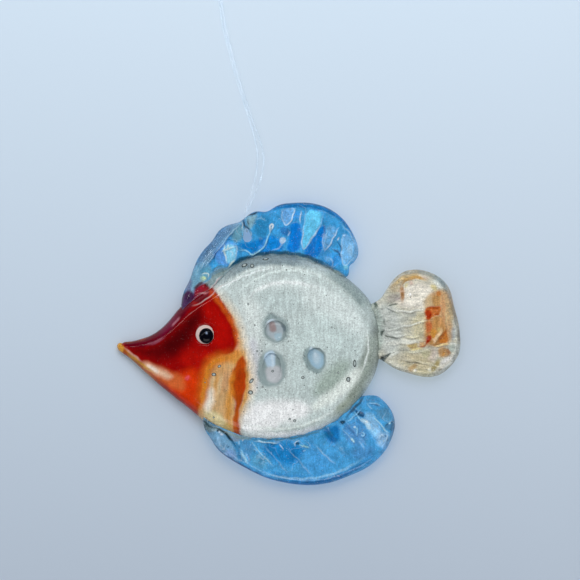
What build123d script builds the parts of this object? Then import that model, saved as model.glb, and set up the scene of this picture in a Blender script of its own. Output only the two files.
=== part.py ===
from build123d import *
import math
import os

# A hand-formed glass fish that hangs in a window, here lying on its flat back face.
# Millimetres. X runs from the beak to the tail, Y towards the dorsal fin, and Z up.
# The origin is under the middle of the glass, on the surface that it lies on.

# Body: a round pillow of glass, drawn out to the beak
BODY_RADIUS = 26.0
BODY_THICKNESS = 8.4
BODY_EDGE_ROUND = 3.4
BEAK_REACH = 50.6
BEAK_THICKNESS = 2.4
BEAK_BEAD_RADIUS = 1.0

# Fins and tail: flatter glass, pressed with grooves, held clear of the surface by the body
DORSAL_HEIGHT = 16.1
VENTRAL_HEIGHT = 15.5
TAIL_REACH = 49.4
TAIL_WIDTH = 31.3
TAIL_RISE = 6.7
FIN_THICKNESS = 3.8
FIN_LIFT = 1.4
FIN_EDGE_ROUND = 1.9
GROOVE_WIDTH = 3.6
GROOVE_DEPTH = 1.2

# Eye: a white dot with a black one pressed into it
EYE_RADIUS = 2.8
PUPIL_RADIUS = 2.1
EYE_RISE = 0.6
EYE_DEPTH = 1.4
PUPIL_RISE = 0.9
PUPIL_DEPTH = 0.7

# Opal drops on the flank
SPOT_RADIUS = 3.3
SPOT_RISE = 0.35
SPOT_DEPTH = 1.5

# Amber glass laid into the tail
AMBER_DEPTH = 1.3
AMBER_ARC_WIDTH = 0.8

# Hanging hole in the dorsal fin, and the dent in the rim above it
HOLE_WIDTH = 2.5
HOLE_LENGTH = 4.1
HOLE_TIP_WIDTH = 1.2
NOTCH_RADIUS = 0.7

# Hanging thread
THREAD_DIAMETER = 0.4
KNOT_RADIUS = 0.8
KNOT_LENGTH = 2.4
KNOT_PITCH = 0.36
KNOT_TILT = 12
TAG_LENGTH = 3.0
TAG_OFFSET = 0.24
TAG_ANGLE = 14

OVERRUN = 1.0
UNIT = 1.0

CENTRE_X = (BEAK_REACH - TAIL_REACH) / 2
CENTRE_Y = -0.775

# The beak starts where the jaws leave the round part, which follows the body's radius.
JAW_SHARE = 1.25
JAW_X = JAW_SHARE * BODY_RADIUS

# Round part of the body's outline, from the lower jaw round by the tail to the upper jaw:
# angle in degrees and reach as a share of the body's radius
BODY_OUTLINE_SHARES = [
    (-153.3, 1.386), (-147.9, 1.330), (-141.7, 1.291), (-136, 1.262), (-128, 1.205),
    (-118, 1.155), (-106, 1.090), (-94, 1.040), (-80, 1.003), (-62, 0.985),
    (-44, 0.972), (-30, 0.980), (-15, 0.998),
    (0, 1.003), (16, 1.010), (30, 1.022), (42, 1.003), (54, 0.990),
    (66, 0.980), (78, 0.988), (92, 1.025), (106, 1.070), (118, 1.110),
    (130, 1.112), (141, 1.110), (148, 1.165), (154.8, 1.244), (160.5, 1.313),
]

# Head's outline, from the upper jaw by the beak's tip to the lower jaw: how far from the
# jaw towards the tip, height as a share of the body's radius, and share of the edge's round
HEAD_OUTLINE_SHARES = [
    (0.142, 0.305, 0.85), (0.303, 0.193, 0.70), (0.464, 0.121, 0.58), (0.624, 0.082, 0.48),
    (0.785, 0.056, 0.38), (0.940, 0.032, 0.26), (1.000, -0.016, 0.30), (0.940, -0.066, 0.26),
    (0.785, -0.142, 0.38), (0.624, -0.243, 0.50), (0.464, -0.343, 0.66), (0.303, -0.444, 0.80),
    (0.142, -0.533, 0.90),
]

# Section of the pillow's edge: height and inset, as shares
BODY_EDGE_SHARES = [
    (0.00, 0.42), (0.08, 0.16), (0.20, 0.03), (0.36, 0.00), (0.54, 0.05),
    (0.72, 0.20), (0.87, 0.46), (0.96, 0.74), (1.00, 1.00),
]
CROWN_STEP_SHARES = [0.2, 0.45, 0.7]
CROWN_CAP_SHARE = 0.3

# Section of a fin's edge: height and inset, as shares
FIN_EDGE_SHARES = [
    (0.00, 0.80), (0.07, 0.42), (0.20, 0.13), (0.38, 0.00), (0.62, 0.00),
    (0.80, 0.13), (0.93, 0.42), (1.00, 0.80),
]
FIN_BITE_SHARE = 0.1

# Fin outlines about the body's centre: angle in degrees, and reach past the body's radius as
# a share of the fin's height. The inner edges lie inside the body, which cuts them.
DORSAL_OUTLINE_SHARES = [
    (162, 0.46), (156, 0.53), (148, 0.56), (140, 0.65), (132, 0.73),
    (126, 0.77), (121, 0.85), (116, 0.84), (112, 0.82), (108, 0.875),
    (102, 0.875), (96, 0.93), (89, 0.98), (80, 1.00), (73, 0.955),
    (67, 0.86), (61, 0.71), (56.5, 0.58), (53.5, 0.43), (53, 0.28),
    (53.5, 0.17), (51, 0.05),
]
DORSAL_INNER_ANGLES = (152, 140, 126, 112, 98, 84, 70, 56)
VENTRAL_OUTLINE_SHARES = [
    (-32, 0.05), (-30, 0.16), (-30, 0.30), (-31.3, 0.47), (-33.5, 0.63),
    (-36.5, 0.76), (-41, 0.865), (-46.5, 0.95), (-53, 1.00), (-62, 1.00),
    (-73, 0.985), (-83, 0.945), (-92, 0.885), (-101, 0.825), (-110, 0.757),
    (-119, 0.72), (-126, 0.68), (-132, 0.60), (-138, 0.52), (-142, 0.42),
]
VENTRAL_INNER_ANGLES = (-42, -55, -70, -85, -100, -115, -130)

# Tail's outline: how far from the body's rim to the tail's end, and height as a share of
# half the tail's width
TAIL_ROOT_SHARE = 0.9
TAIL_OUTLINE_SHARES = [
    (-0.06, -0.60), (0.133, -0.70), (0.265, -0.84), (0.435, -0.933), (0.604, -0.997),
    (0.769, -0.952), (0.892, -0.792), (0.984, -0.553), (0.997, -0.256), (0.971, 0.061),
    (0.920, 0.377), (0.881, 0.620), (0.804, 0.805), (0.680, 0.933), (0.523, 1.000),
    (0.358, 0.952), (0.235, 0.785), (0.133, 0.525), (0.050, 0.400), (-0.06, 0.30),
    (-0.08, -0.15),
]

# Grooves: angle about the body's centre in degrees, slant from the radial line in degrees,
# and how far out the groove fades, as a share of the fin's height
DORSAL_GROOVES_SHARES = [
    (103, 12, 0.62), (95, 4, 0.74), (87, 0, 0.84), (79, -4, 0.86), (71, -8, 0.80),
    (63.5, -10, 0.66),
]
VENTRAL_GROOVES_SHARES = [
    (-118, 24, 0.52), (-107, 26, 0.58), (-95, 26, 0.66), (-83, 24, 0.74), (-71, 22, 0.80),
    (-59, 18, 0.84), (-48, 14, 0.78),
]
# Tail grooves fan out from the root: angle in degrees, and length as a share of the tail's
TAIL_GROOVES_SHARES = [(54, 0.50), (36, 0.72), (18, 0.86), (2, 0.92), (-14, 0.86), (-31, 0.70)]
TAIL_FAN_SHARE = -0.06
# Grooves start inside the body's rim, so that they run out through the fin's inner edge.
GROOVE_START_SHARE = 0.92

# Edge of the red glass, from above the fish to below it, as shares of the body's radius
HEAD_BORDER_SHARES = [
    (-1.12, 0.985), (-1.036, 0.875), (-0.969, 0.730), (-0.868, 0.596), (-0.790, 0.495),
    (-0.723, 0.383), (-0.667, 0.272), (-0.622, 0.160), (-0.594, 0.048), (-0.600, -0.041),
    (-0.656, -0.112), (-0.768, -0.100), (-0.846, -0.131), (-0.915, -0.205), (-0.947, -0.287),
    (-0.969, -0.377), (-0.985, -0.489), (-1.014, -0.600), (-1.036, -0.712), (-1.070, -0.800),
    (-1.125, -0.913), (-1.200, -1.020),
]

# Gill streak, down its left edge and up its right one, as shares of the body's radius
GILL_LEFT_SHARES = [
    (-0.533, -0.131), (-0.562, -0.176), (-0.608, -0.243), (-0.640, -0.321), (-0.656, -0.410),
    (-0.650, -0.511), (-0.617, -0.623), (-0.611, -0.735), (-0.622, -0.835), (-0.645, -0.936),
    (-0.645, -1.080),
]
GILL_RIGHT_SHARES = [
    (-0.575, -1.080), (-0.590, -0.936), (-0.582, -0.835), (-0.555, -0.735), (-0.522, -0.600),
    (-0.497, -0.444), (-0.485, -0.287), (-0.496, -0.176), (-0.533, -0.131),
]

# Places on the body, as shares of its radius, and the drops' sizes as shares of their radius
EYE_PLACE_SHARES = (-0.949, 0.135)
PUPIL_PLACE_SHARES = (-0.938, 0.122)
PUPIL_HEIGHT_SHARE = 1.06
SPOTS_SHARES = {
    "spot_upper": (-0.164, 0.171, 1.00, 1.02),
    "spot_lower": (-0.208, -0.231, 0.86, 1.46),
    "spot_rear": (0.283, -0.131, 0.88, 1.08),
}

# Amber in the tail, in the tail outline's terms
AMBER_BAR_SHARES = [
    (0.704, 0.570), (0.678, 0.340), (0.605, 0.260), (0.622, 0.044), (0.614, -0.216),
    (0.585, -0.430), (0.704, -0.420), (0.830, -0.370), (0.858, -0.270), (0.856, -0.030),
    (0.838, 0.250), (0.795, 0.330), (0.771, 0.570),
]
AMBER_ARC_SHARES = [(0.345, 0.42), (0.350, 0.60), (0.400, 0.74), (0.480, 0.83), (0.570, 0.84)]

# Hole: angle about the body's centre, reach past the body's radius, and slant of its length
HOLE_ANGLE = 111.4
HOLE_REACH_SHARE = 0.54
HOLE_SLANT = -14
NOTCH_ANGLE = 110.3
NOTCH_REACH_SHARE = 0.89

# The thread's two strands, from inside the hole to the knot, measured from the hole's middle
# and from the surface. They are chosen by hand and don't follow the sizes above.
FRONT_ROUTE = [
    (0.0, 1.0, 3.3), (0.0, 1.0, 4.6), (-0.1, 1.6, 6.0), (-0.4, 3.2, 6.9), (-0.7, 5.3, 6.3),
    (-0.3, 7.9, 4.6), (0.6, 10.6, 2.6), (1.5, 13.6, 1.1), (2.4, 17.1, 0.4), (3.0, 20.8, 0.25),
    (3.0, 24.8, 0.25), (2.2, 28.9, 0.25), (1.0, 32.8, 0.25), (-0.3, 37.0, 0.25),
    (-2.0, 42.2, 0.25), (-3.7, 47.7, 0.25), (-5.1, 53.2, 0.25), (-6.5, 58.5, 0.25),
    (-7.5, 63.4, 0.25), (-8.1, 68.3, 0.25), (-8.6, 72.0, 0.4), (-8.8, 75.0, 0.8),
]
BACK_ROUTE = [
    (0.0, 1.0, 3.3), (0.0, 1.0, 1.9), (0.0, 1.6, 0.9), (-0.3, 3.0, 0.55), (-0.6, 4.9, 0.4),
    (0.1, 7.3, 0.25), (1.4, 10.1, 0.25), (2.9, 13.6, 0.25), (4.2, 17.5, 0.25),
    (4.9, 21.5, 0.25), (4.5, 25.5, 0.25), (3.3, 29.3, 0.25), (1.7, 33.2, 0.25),
    (0.35, 37.3, 0.25), (-1.3, 42.5, 0.25), (-3.0, 48.0, 0.25), (-4.4, 53.4, 0.25),
    (-5.8, 58.7, 0.25), (-6.8, 63.6, 0.25), (-7.4, 68.4, 0.25), (-7.95, 72.1, 0.4),
    (-8.25, 75.1, 0.8),
]
RUN_SHARE = 0.45


def polar(angle, reach):
    """A point at an angle and a reach from the body's centre."""
    turn = math.radians(angle)
    return Vector(CENTRE_X + reach * math.cos(turn), CENTRE_Y + reach * math.sin(turn))


def on_body(x_share, y_share):
    """A point given in shares of the body's radius from its centre."""
    return Vector(CENTRE_X + x_share * BODY_RADIUS, CENTRE_Y + y_share * BODY_RADIUS)


def on_tail(x_share, y_share):
    """A point given in the tail's own shares."""
    root = TAIL_ROOT_SHARE * BODY_RADIUS
    x = root + x_share * (TAIL_REACH - root)
    return Vector(CENTRE_X + x, CENTRE_Y + TAIL_RISE + y_share * TAIL_WIDTH / 2)


def from_centre(point):
    """Distance of a point from the body's centre, seen from above."""
    return math.hypot(point.X - CENTRE_X, point.Y - CENTRE_Y)


def crown(reach):
    """Height of the pillow's top, which falls from the flat in the middle to the beak."""
    flat = CROWN_CAP_SHARE * BODY_RADIUS
    fall = BODY_THICKNESS - BEAK_THICKNESS
    return BODY_THICKNESS - fall * (reach ** 2 - flat ** 2) / (BEAK_REACH ** 2 - flat ** 2)


def lifted(point, height):
    return Vector(point.X, point.Y, height)


def inner_points(points, inset_shares, inset):
    """The outline moved inwards, each point by its own share of the inset."""
    moved = []
    for i, point in enumerate(points):
        along = points[(i + 1) % len(points)] - points[i - 1]
        inward = Vector(-along.Y, along.X).normalized()
        moved.append(point + inward * inset * inset_shares[i])
    return moved


def spacing(points):
    """How far round the outline each point lies, from 0 to 1, which all its levels share."""
    places = [0.0]
    for here, there in zip(points, points[1:] + points[:1]):
        places.append(places[-1] + (there - here).length)
    return [place / places[-1] for place in places]


def loft_levels(levels):
    """A solid through closed level curves, each given by as many points."""
    places = spacing(levels[0])
    loops = [Wire([Edge.make_spline(p, periodic=True, parameters=places)]) for p in levels]
    return Solid.make_loft(loops, ruled=True)


def pillow_outline():
    """Points round the body and head, anticlockwise, with each one's share of the edge round."""
    points = [polar(angle, share * BODY_RADIUS) for angle, share in BODY_OUTLINE_SHARES]
    shares = [1.0] * len(points)
    for along_share, height_share, edge_share in HEAD_OUTLINE_SHARES:
        x = JAW_X + along_share * (BEAK_REACH - JAW_X)
        points.append(Vector(CENTRE_X - x, CENTRE_Y + height_share * BODY_RADIUS))
        shares.append(edge_share)
    return points, shares


def make_pillow():
    """The whole body and head: flat behind, round at the edge and gently domed in front."""
    points, edge_shares = pillow_outline()
    crest = inner_points(points, edge_shares, BODY_EDGE_ROUND)
    crest_heights = [crown(from_centre(p)) for p in crest]
    levels = []
    for height_share, inset_share in BODY_EDGE_SHARES:
        level = inner_points(points, edge_shares, BODY_EDGE_ROUND * inset_share)
        levels.append([lifted(p, height_share * h) for p, h in zip(level, crest_heights)])
    middle = Vector(CENTRE_X, CENTRE_Y)
    cap_radius = CROWN_CAP_SHARE * BODY_RADIUS
    cap = [middle + (p - middle).normalized() * cap_radius for p in points]
    for step in CROWN_STEP_SHARES:
        level = [a + (b - a) * step for a, b in zip(crest, cap)]
        levels.append([lifted(p, crown(from_centre(p))) for p in level])
    levels.append([lifted(p, crown(cap_radius)) for p in cap])
    return loft_levels(levels)


def make_plate(points):
    """A flat piece of fin glass with round edges."""
    levels = []
    for height_share, inset_share in FIN_EDGE_SHARES:
        level = inner_points(points, [1.0] * len(points), FIN_EDGE_ROUND * inset_share)
        height = FIN_LIFT + height_share * FIN_THICKNESS
        levels.append([lifted(p, height) for p in level])
    return loft_levels(levels)


def fin_points(outline_shares, inner_angles, height):
    """A fin's outline: its outer edge, then its inner edge back inside the body."""
    outer = [polar(angle, BODY_RADIUS + share * height) for angle, share in outline_shares]
    reach = BODY_RADIUS * (1 - FIN_BITE_SHARE)
    inner = [polar(angle, reach) for angle in inner_angles]
    return outer, inner


def fin_plate(outline_shares, inner_angles, height):
    """A fin's plate. Its outline starts in the middle of the outer edge, clear of the body."""
    outer, inner = fin_points(outline_shares, inner_angles, height)
    ring = outer[::-1] + inner
    start = len(outer) // 2
    return make_plate(ring[start:] + ring[:start])


def tail_plate():
    return make_plate([on_tail(x, y) for x, y in TAIL_OUTLINE_SHARES])


def groove(start, direction, length):
    """A pressed groove: a spike laid point outwards in the fin's front, so that it fades."""
    slope = GROOVE_WIDTH / 2 / GROOVE_DEPTH
    half = GROOVE_WIDTH / 2 + slope * OVERRUN
    corners = [(0, -half, OVERRUN), (0, half, OVERRUN), (0, 0, -GROOVE_DEPTH)]
    spike = Solid.make_loft([Wire.make_polygon(corners), Vertex(length, 0, 0)], ruled=True)
    return Pos(start.X, start.Y, FIN_LIFT + FIN_THICKNESS) * Rot(0, 0, direction) * spike


def fin_grooves(grooves_shares, height):
    start = GROOVE_START_SHARE * BODY_RADIUS
    cuts = []
    for angle, slant, fade_share in grooves_shares:
        length = BODY_RADIUS - start + fade_share * height
        cuts.append(groove(polar(angle, start), angle + slant, length))
    return cuts


def tail_grooves():
    fan = on_tail(TAIL_FAN_SHARE, 0)
    length = TAIL_REACH - TAIL_ROOT_SHARE * BODY_RADIUS
    return [groove(fan, angle, share * length) for angle, share in TAIL_GROOVES_SHARES]


def hanging_hole():
    """The pear-shaped hole, with its narrow end towards the rim."""
    place = polar(HOLE_ANGLE, BODY_RADIUS + HOLE_REACH_SHARE * DORSAL_HEIGHT)
    wide = HOLE_WIDTH / 2
    narrow = HOLE_TIP_WIDTH / 2
    low = wide - HOLE_LENGTH / 2
    high = HOLE_LENGTH / 2 - narrow
    rounds = [CenterArc((0, low), wide, 0, 360), CenterArc((0, high), narrow, 0, 360)]
    pear = make_hull(rounds)
    height = FIN_THICKNESS + 2 * OVERRUN
    cut = extrude(pear, amount=height, dir=(0, 0, 1))
    turn = HOLE_ANGLE + HOLE_SLANT - 90
    return Pos(place.X, place.Y, FIN_LIFT - OVERRUN) * Rot(0, 0, turn) * cut


def rim_notch():
    place = polar(NOTCH_ANGLE, BODY_RADIUS + NOTCH_REACH_SHARE * DORSAL_HEIGHT)
    height = FIN_THICKNESS + 2 * OVERRUN
    return Pos(place.X, place.Y, FIN_LIFT + FIN_THICKNESS / 2) * Cylinder(NOTCH_RADIUS, height)


def through_body(edges):
    """A solid over a region of the body, from below it to above it."""
    height = BODY_THICKNESS + 2 * OVERRUN
    return Pos(0, 0, -OVERRUN) * extrude(make_face(edges), amount=height, dir=(0, 0, 1))


def head_region():
    border = [on_body(x, y) for x, y in HEAD_BORDER_SHARES]
    far = -BEAK_REACH - BODY_RADIUS
    corners = [border[-1], (far, border[-1].Y), (far, border[0].Y), border[0]]
    return through_body([Spline(*border), Polyline(*corners)])


def gill_region():
    left = [on_body(x, y) for x, y in GILL_LEFT_SHARES]
    right = [on_body(x, y) for x, y in GILL_RIGHT_SHARES]
    return through_body([Spline(*left), Line(left[-1], right[0]), Spline(*right)])


def cheek_region():
    """Everything to the left of the gill streak's left edge."""
    left = [on_body(x, y) for x, y in GILL_LEFT_SHARES]
    far = -BEAK_REACH - BODY_RADIUS
    corners = [left[-1], (far, left[-1].Y), (far, left[0].Y), left[0]]
    return through_body([Spline(*left), Polyline(*corners)])


def drop(place, radii, rise, depth):
    """A drop of glass pressed into the front: an oval lens that stands out by rise."""
    surface = crown(from_centre(place))
    half = (rise + depth) / 2
    oval = scale(Sphere(UNIT), by=(radii[0], radii[1], half))
    return Pos(place.X, place.Y, surface + rise - half) * oval


def on_tail_front(region):
    """A solid over a region of the tail, sunk into its front."""
    low = FIN_LIFT + FIN_THICKNESS - AMBER_DEPTH
    return Pos(0, 0, low) * extrude(region, amount=AMBER_DEPTH + OVERRUN, dir=(0, 0, 1))


def amber_bar_region():
    points = [on_tail(x, y) for x, y in AMBER_BAR_SHARES]
    return on_tail_front(make_face(Edge.make_spline(points, periodic=True)))


def amber_arc_region():
    line = Spline(*[on_tail(x, y) for x, y in AMBER_ARC_SHARES])
    return on_tail_front(trace(line, AMBER_ARC_WIDTH))


def corner_radii(name, points):
    """The largest radii that the runs of a strand allow, one for each corner."""
    radii = []
    for before, at, after in zip(points, points[1:], points[2:]):
        turn = math.radians((at - before).get_angle(after - at))
        run = min((at - before).length, (after - at).length)
        radii.append(RUN_SHARE * run / math.tan(turn / 2))
    print(name, "radii", [round(r, 1) for r in radii])
    return radii


def strand(name, hole, route):
    """One strand of the thread as a round tube along its route."""
    points = [Vector(hole.X + x, hole.Y + y, z) for x, y, z in route]
    path = FilletPolyline(*points, radius=corner_radii(name, points))
    section = Plane(path @ 0, z_dir=path % 0) * Circle(THREAD_DIAMETER / 2)
    tube = sweep(section, path=path)
    print(name, "length", round(path.length, 2), "volume", round(tube.volume, 4),
          "expected", round(math.pi * (THREAD_DIAMETER / 2) ** 2 * path.length, 4))
    return tube


def knot(hole):
    """The knot that ties the strands: three turns round a core, and two cut ends."""
    front_end = Vector(*FRONT_ROUTE[-1])
    back_end = Vector(*BACK_ROUTE[-1])
    place = (front_end + back_end) / 2
    place = Vector(hole.X + place.X, hole.Y + place.Y, place.Z)
    inside = KNOT_RADIUS - THREAD_DIAMETER / 2
    core = scale(Sphere(UNIT), by=(inside, KNOT_LENGTH / 2, inside))
    turns = []
    for step in (-1, 0, 1):
        ring = Torus(inside, THREAD_DIAMETER / 2)
        turns.append(Pos(0, step * KNOT_PITCH, 0) * Rot(90 + KNOT_TILT, 0, 0) * ring)
    ends = []
    base = (Align.CENTER, Align.CENTER, Align.MIN)
    for side in (-1, 1):
        end = Cylinder(THREAD_DIAMETER / 2, TAG_LENGTH, align=base)
        ends.append(Pos(side * TAG_OFFSET, 0, 0) * Rot(-90, 0, -side * TAG_ANGLE) * end)
    return Pos(place.X, place.Y + KNOT_LENGTH / 2, place.Z) * (core + turns + ends)


def build():
    parts = {}
    pillow = make_pillow()
    eye_place = on_body(*EYE_PLACE_SHARES)
    pupil_place = on_body(*PUPIL_PLACE_SHARES)

    bead_place = Vector(CENTRE_X - BEAK_REACH + BEAK_BEAD_RADIUS, CENTRE_Y, BEAK_THICKNESS / 2)
    bead = Pos(bead_place) * Sphere(BEAK_BEAD_RADIUS)
    white = drop(eye_place, (EYE_RADIUS, EYE_RADIUS), EYE_RISE, EYE_DEPTH)
    pupil_radii = (PUPIL_RADIUS, PUPIL_RADIUS * PUPIL_HEIGHT_SHARE)
    pupil = drop(pupil_place, pupil_radii, PUPIL_RISE, PUPIL_DEPTH)
    parts["beak_tip"] = bead
    parts["eye_pupil"] = pupil
    parts["eye_white"] = white - pupil

    head_cut = head_region()
    gill_cut = gill_region()
    parts["head"] = (pillow & head_cut) - bead - white - pupil
    behind_head = pillow - head_cut
    parts["gill_streak"] = behind_head & gill_cut
    behind_head = behind_head - gill_cut
    cheek_cut = cheek_region()
    parts["cheek_band"] = behind_head & cheek_cut
    body = behind_head - cheek_cut
    for name, (x, y, wide, high) in SPOTS_SHARES.items():
        radii = (wide * SPOT_RADIUS, high * SPOT_RADIUS)
        spot = drop(on_body(x, y), radii, SPOT_RISE, SPOT_DEPTH)
        parts[name] = spot
        body = body - spot
    parts["body"] = body

    dorsal = fin_plate(DORSAL_OUTLINE_SHARES, DORSAL_INNER_ANGLES, DORSAL_HEIGHT) - pillow
    dorsal = dorsal - fin_grooves(DORSAL_GROOVES_SHARES, DORSAL_HEIGHT)
    parts["dorsal_fin"] = dorsal - hanging_hole() - rim_notch()
    ventral = fin_plate(VENTRAL_OUTLINE_SHARES, VENTRAL_INNER_ANGLES, VENTRAL_HEIGHT) - pillow
    parts["ventral_fin"] = ventral - fin_grooves(VENTRAL_GROOVES_SHARES, VENTRAL_HEIGHT)
    tail = tail_plate() - pillow - tail_grooves()
    ambers = {"tail_amber_bar": amber_bar_region(), "tail_amber_arc": amber_arc_region()}
    for name, region in ambers.items():
        parts[name] = tail & region
        tail = tail - region
    parts["tail_fin"] = tail

    hole = polar(HOLE_ANGLE, BODY_RADIUS + HOLE_REACH_SHARE * DORSAL_HEIGHT)
    parts["thread_front"] = strand("thread_front", hole, FRONT_ROUTE)
    parts["thread_back"] = strand("thread_back", hole, BACK_ROUTE)
    parts["thread_knot"] = knot(hole) - parts["thread_front"] - parts["thread_back"]
    return parts


os.makedirs("parts", exist_ok=True)
for node, shape in build().items():
    export_step(shape, f"parts/{node}.step")
    print(node, "solids", len(shape.solids()), "volume", round(shape.volume, 2))
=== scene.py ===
import math

import bmesh
import bpy
import numpy as np
from mathutils import Matrix, Vector


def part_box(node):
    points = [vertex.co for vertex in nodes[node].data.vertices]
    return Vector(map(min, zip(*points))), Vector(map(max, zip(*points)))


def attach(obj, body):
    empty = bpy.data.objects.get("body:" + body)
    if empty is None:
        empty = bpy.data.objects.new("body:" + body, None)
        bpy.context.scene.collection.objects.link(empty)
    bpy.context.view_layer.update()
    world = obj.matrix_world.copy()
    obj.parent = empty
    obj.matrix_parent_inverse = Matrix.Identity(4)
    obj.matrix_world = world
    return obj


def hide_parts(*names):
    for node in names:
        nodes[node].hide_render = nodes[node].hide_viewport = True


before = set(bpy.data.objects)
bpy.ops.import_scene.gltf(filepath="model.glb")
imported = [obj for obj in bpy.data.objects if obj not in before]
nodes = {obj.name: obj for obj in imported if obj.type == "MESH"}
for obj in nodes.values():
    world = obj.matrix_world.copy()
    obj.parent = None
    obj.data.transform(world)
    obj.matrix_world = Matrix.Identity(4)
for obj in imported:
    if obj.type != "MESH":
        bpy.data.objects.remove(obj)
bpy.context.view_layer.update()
scene = bpy.context.scene

# A glass fish on its flat back. Places for colour and relief were read off the
# reference photograph. The sheet, as it is called here, is the photograph's own frame of 580
# by 580 pixels: a step is one pixel, across from the left and down from the top.
STEP = 0.0002907
SHEET_ZERO = (288.5, 343.75)
MM = 0.001

# Camera: straight above the sheet's middle, with a long lens
SHEET_SIDE = 580
LENS = 150
SENSOR = 36
FISH_MIDDLE_HEIGHT = 0.0035

# Body's centre and radius, which the borders between the glasses are shares of
CENTRE = (0.0006, -0.000775)
BODY_RADIUS = 0.026


def place(across, down):
    """A place in metres, from the photograph's pixels across and down."""
    return (across - SHEET_ZERO[0]) * STEP, (SHEET_ZERO[1] - down) * STEP


def linear(colour):
    """A colour written as six hexadecimal digits, as light, by the sRGB curve."""
    parts = np.array([int(colour[i:i + 2], 16) / 255 for i in (0, 2, 4)])
    return np.where(parts <= 0.04045, parts / 12.92, ((parts + 0.055) / 1.055) ** 2.4)


def rgba(colour):
    return (*linear(colour), 1.0)


# ---- camera ----
middle = place(SHEET_SIDE / 2, SHEET_SIDE / 2)
camera = bpy.data.objects.new("camera", bpy.data.cameras.new("camera"))
camera.data.lens = LENS
camera.data.sensor_width = SENSOR
camera.data.clip_start = 0.01
camera.location = (*middle, SHEET_SIDE * STEP * LENS / SENSOR + FISH_MIDDLE_HEIGHT)
scene.collection.objects.link(camera)
scene.camera = camera


# ---- hanging thread ----
THREAD_DIAMETER = 0.0004
FRONT_LENGTH = 0.0799
BACK_LENGTH = 0.0788
HOLE_MIDDLE = (-12.059, 31.527)
FRONT_ROUTE = [
    (0.0, 1.0, 3.3), (0.0, 1.0, 4.6), (-0.1, 1.6, 6.0), (-0.4, 3.2, 6.9), (-0.7, 5.3, 6.3),
    (-0.3, 7.9, 4.6), (0.6, 10.6, 2.6), (1.5, 13.6, 1.1), (2.4, 17.1, 0.4), (3.0, 20.8, 0.25),
    (3.0, 24.8, 0.25), (2.2, 28.9, 0.25), (1.0, 32.8, 0.25), (-0.3, 37.0, 0.25),
    (-2.0, 42.2, 0.25), (-3.7, 47.7, 0.25), (-5.1, 53.2, 0.25), (-6.5, 58.5, 0.25),
    (-7.5, 63.4, 0.25), (-8.1, 68.3, 0.25), (-8.6, 72.0, 0.4), (-8.8, 75.0, 0.8),
]
BACK_ROUTE = [
    (0.0, 1.0, 3.3), (0.0, 1.0, 1.9), (0.0, 1.6, 0.9), (-0.3, 3.0, 0.55), (-0.6, 4.9, 0.4),
    (0.1, 7.3, 0.25), (1.4, 10.1, 0.25), (2.9, 13.6, 0.25), (4.2, 17.5, 0.25),
    (4.9, 21.5, 0.25), (4.5, 25.5, 0.25), (3.3, 29.3, 0.25), (1.7, 33.2, 0.25),
    (0.35, 37.3, 0.25), (-1.3, 42.5, 0.25), (-3.0, 48.0, 0.25), (-4.4, 53.4, 0.25),
    (-5.8, 58.7, 0.25), (-6.8, 63.6, 0.25), (-7.4, 68.4, 0.25), (-7.95, 72.1, 0.4),
    (-8.25, 75.1, 0.8),
]


def strand(name, route):
    """One strand of the thread as a round curve along its route."""
    curve = bpy.data.curves.new(name, "CURVE")
    curve.dimensions = "3D"
    curve.bevel_depth = THREAD_DIAMETER / 2
    curve.bevel_resolution = 3
    curve.resolution_u = 8
    curve.use_fill_caps = True
    spline = curve.splines.new("NURBS")
    spline.points.add(len(route) - 1)
    for point, (x, y, z) in zip(spline.points, route):
        point.co = ((HOLE_MIDDLE[0] + x) * MM, (HOLE_MIDDLE[1] + y) * MM, z * MM, 1)
    spline.order_u = 3
    spline.use_endpoint_u = True
    thread = bpy.data.objects.new(name, curve)
    scene.collection.objects.link(thread)
    return thread


# ---- glass forms ----
# Faces that look up at least this much are divided once more, to carry fine colour
FRONT_SLOPE = 0.45

# Each skin's cells in metres, and how many times it is smoothed
BODY_SKIN = (0.00036, 9)
FIN_SKIN = (0.00024, 4)
TAIL_SKIN = (0.00021, 5)

# Points nearer to each other than this are joined
SAME_SPOT = 0.000001


def settle(piece):
    """Makes the piece's modifiers part of its mesh."""
    bpy.context.view_layer.update()
    shape = piece.evaluated_get(bpy.context.evaluated_depsgraph_get())
    mesh = bpy.data.meshes.new_from_object(shape)
    old = piece.data
    piece.modifiers.clear()
    piece.data = mesh
    bpy.data.meshes.remove(old)
    return piece


def new_piece(name, form):
    mesh = bpy.data.meshes.new(name)
    form.to_mesh(mesh)
    form.free()
    piece = bpy.data.objects.new(name, mesh)
    scene.collection.objects.link(piece)
    return piece


def fused(name, sources, cell, rounds):
    """One soft skin over copies of solids, as glass flows together in the flame."""
    form = bmesh.new()
    for source in sources:
        form.from_mesh(nodes[source].data)
    bmesh.ops.remove_doubles(form, verts=form.verts, dist=SAME_SPOT)
    piece = new_piece(name, form)
    skin = piece.modifiers.new("skin", "REMESH")
    skin.mode = "VOXEL"
    skin.voxel_size = cell
    flow = piece.modifiers.new("flow", "SMOOTH")
    flow.factor = 0.5
    flow.iterations = rounds
    settle(piece)
    form = bmesh.new()
    form.from_mesh(piece.data)
    front = [face for face in form.faces if face.normal.z > FRONT_SLOPE]
    edges = list({edge for face in front for edge in face.edges})
    bmesh.ops.subdivide_edges(form, edges=edges, cuts=1, use_grid_fill=True)
    form.to_mesh(piece.data)
    form.free()
    return piece


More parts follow.
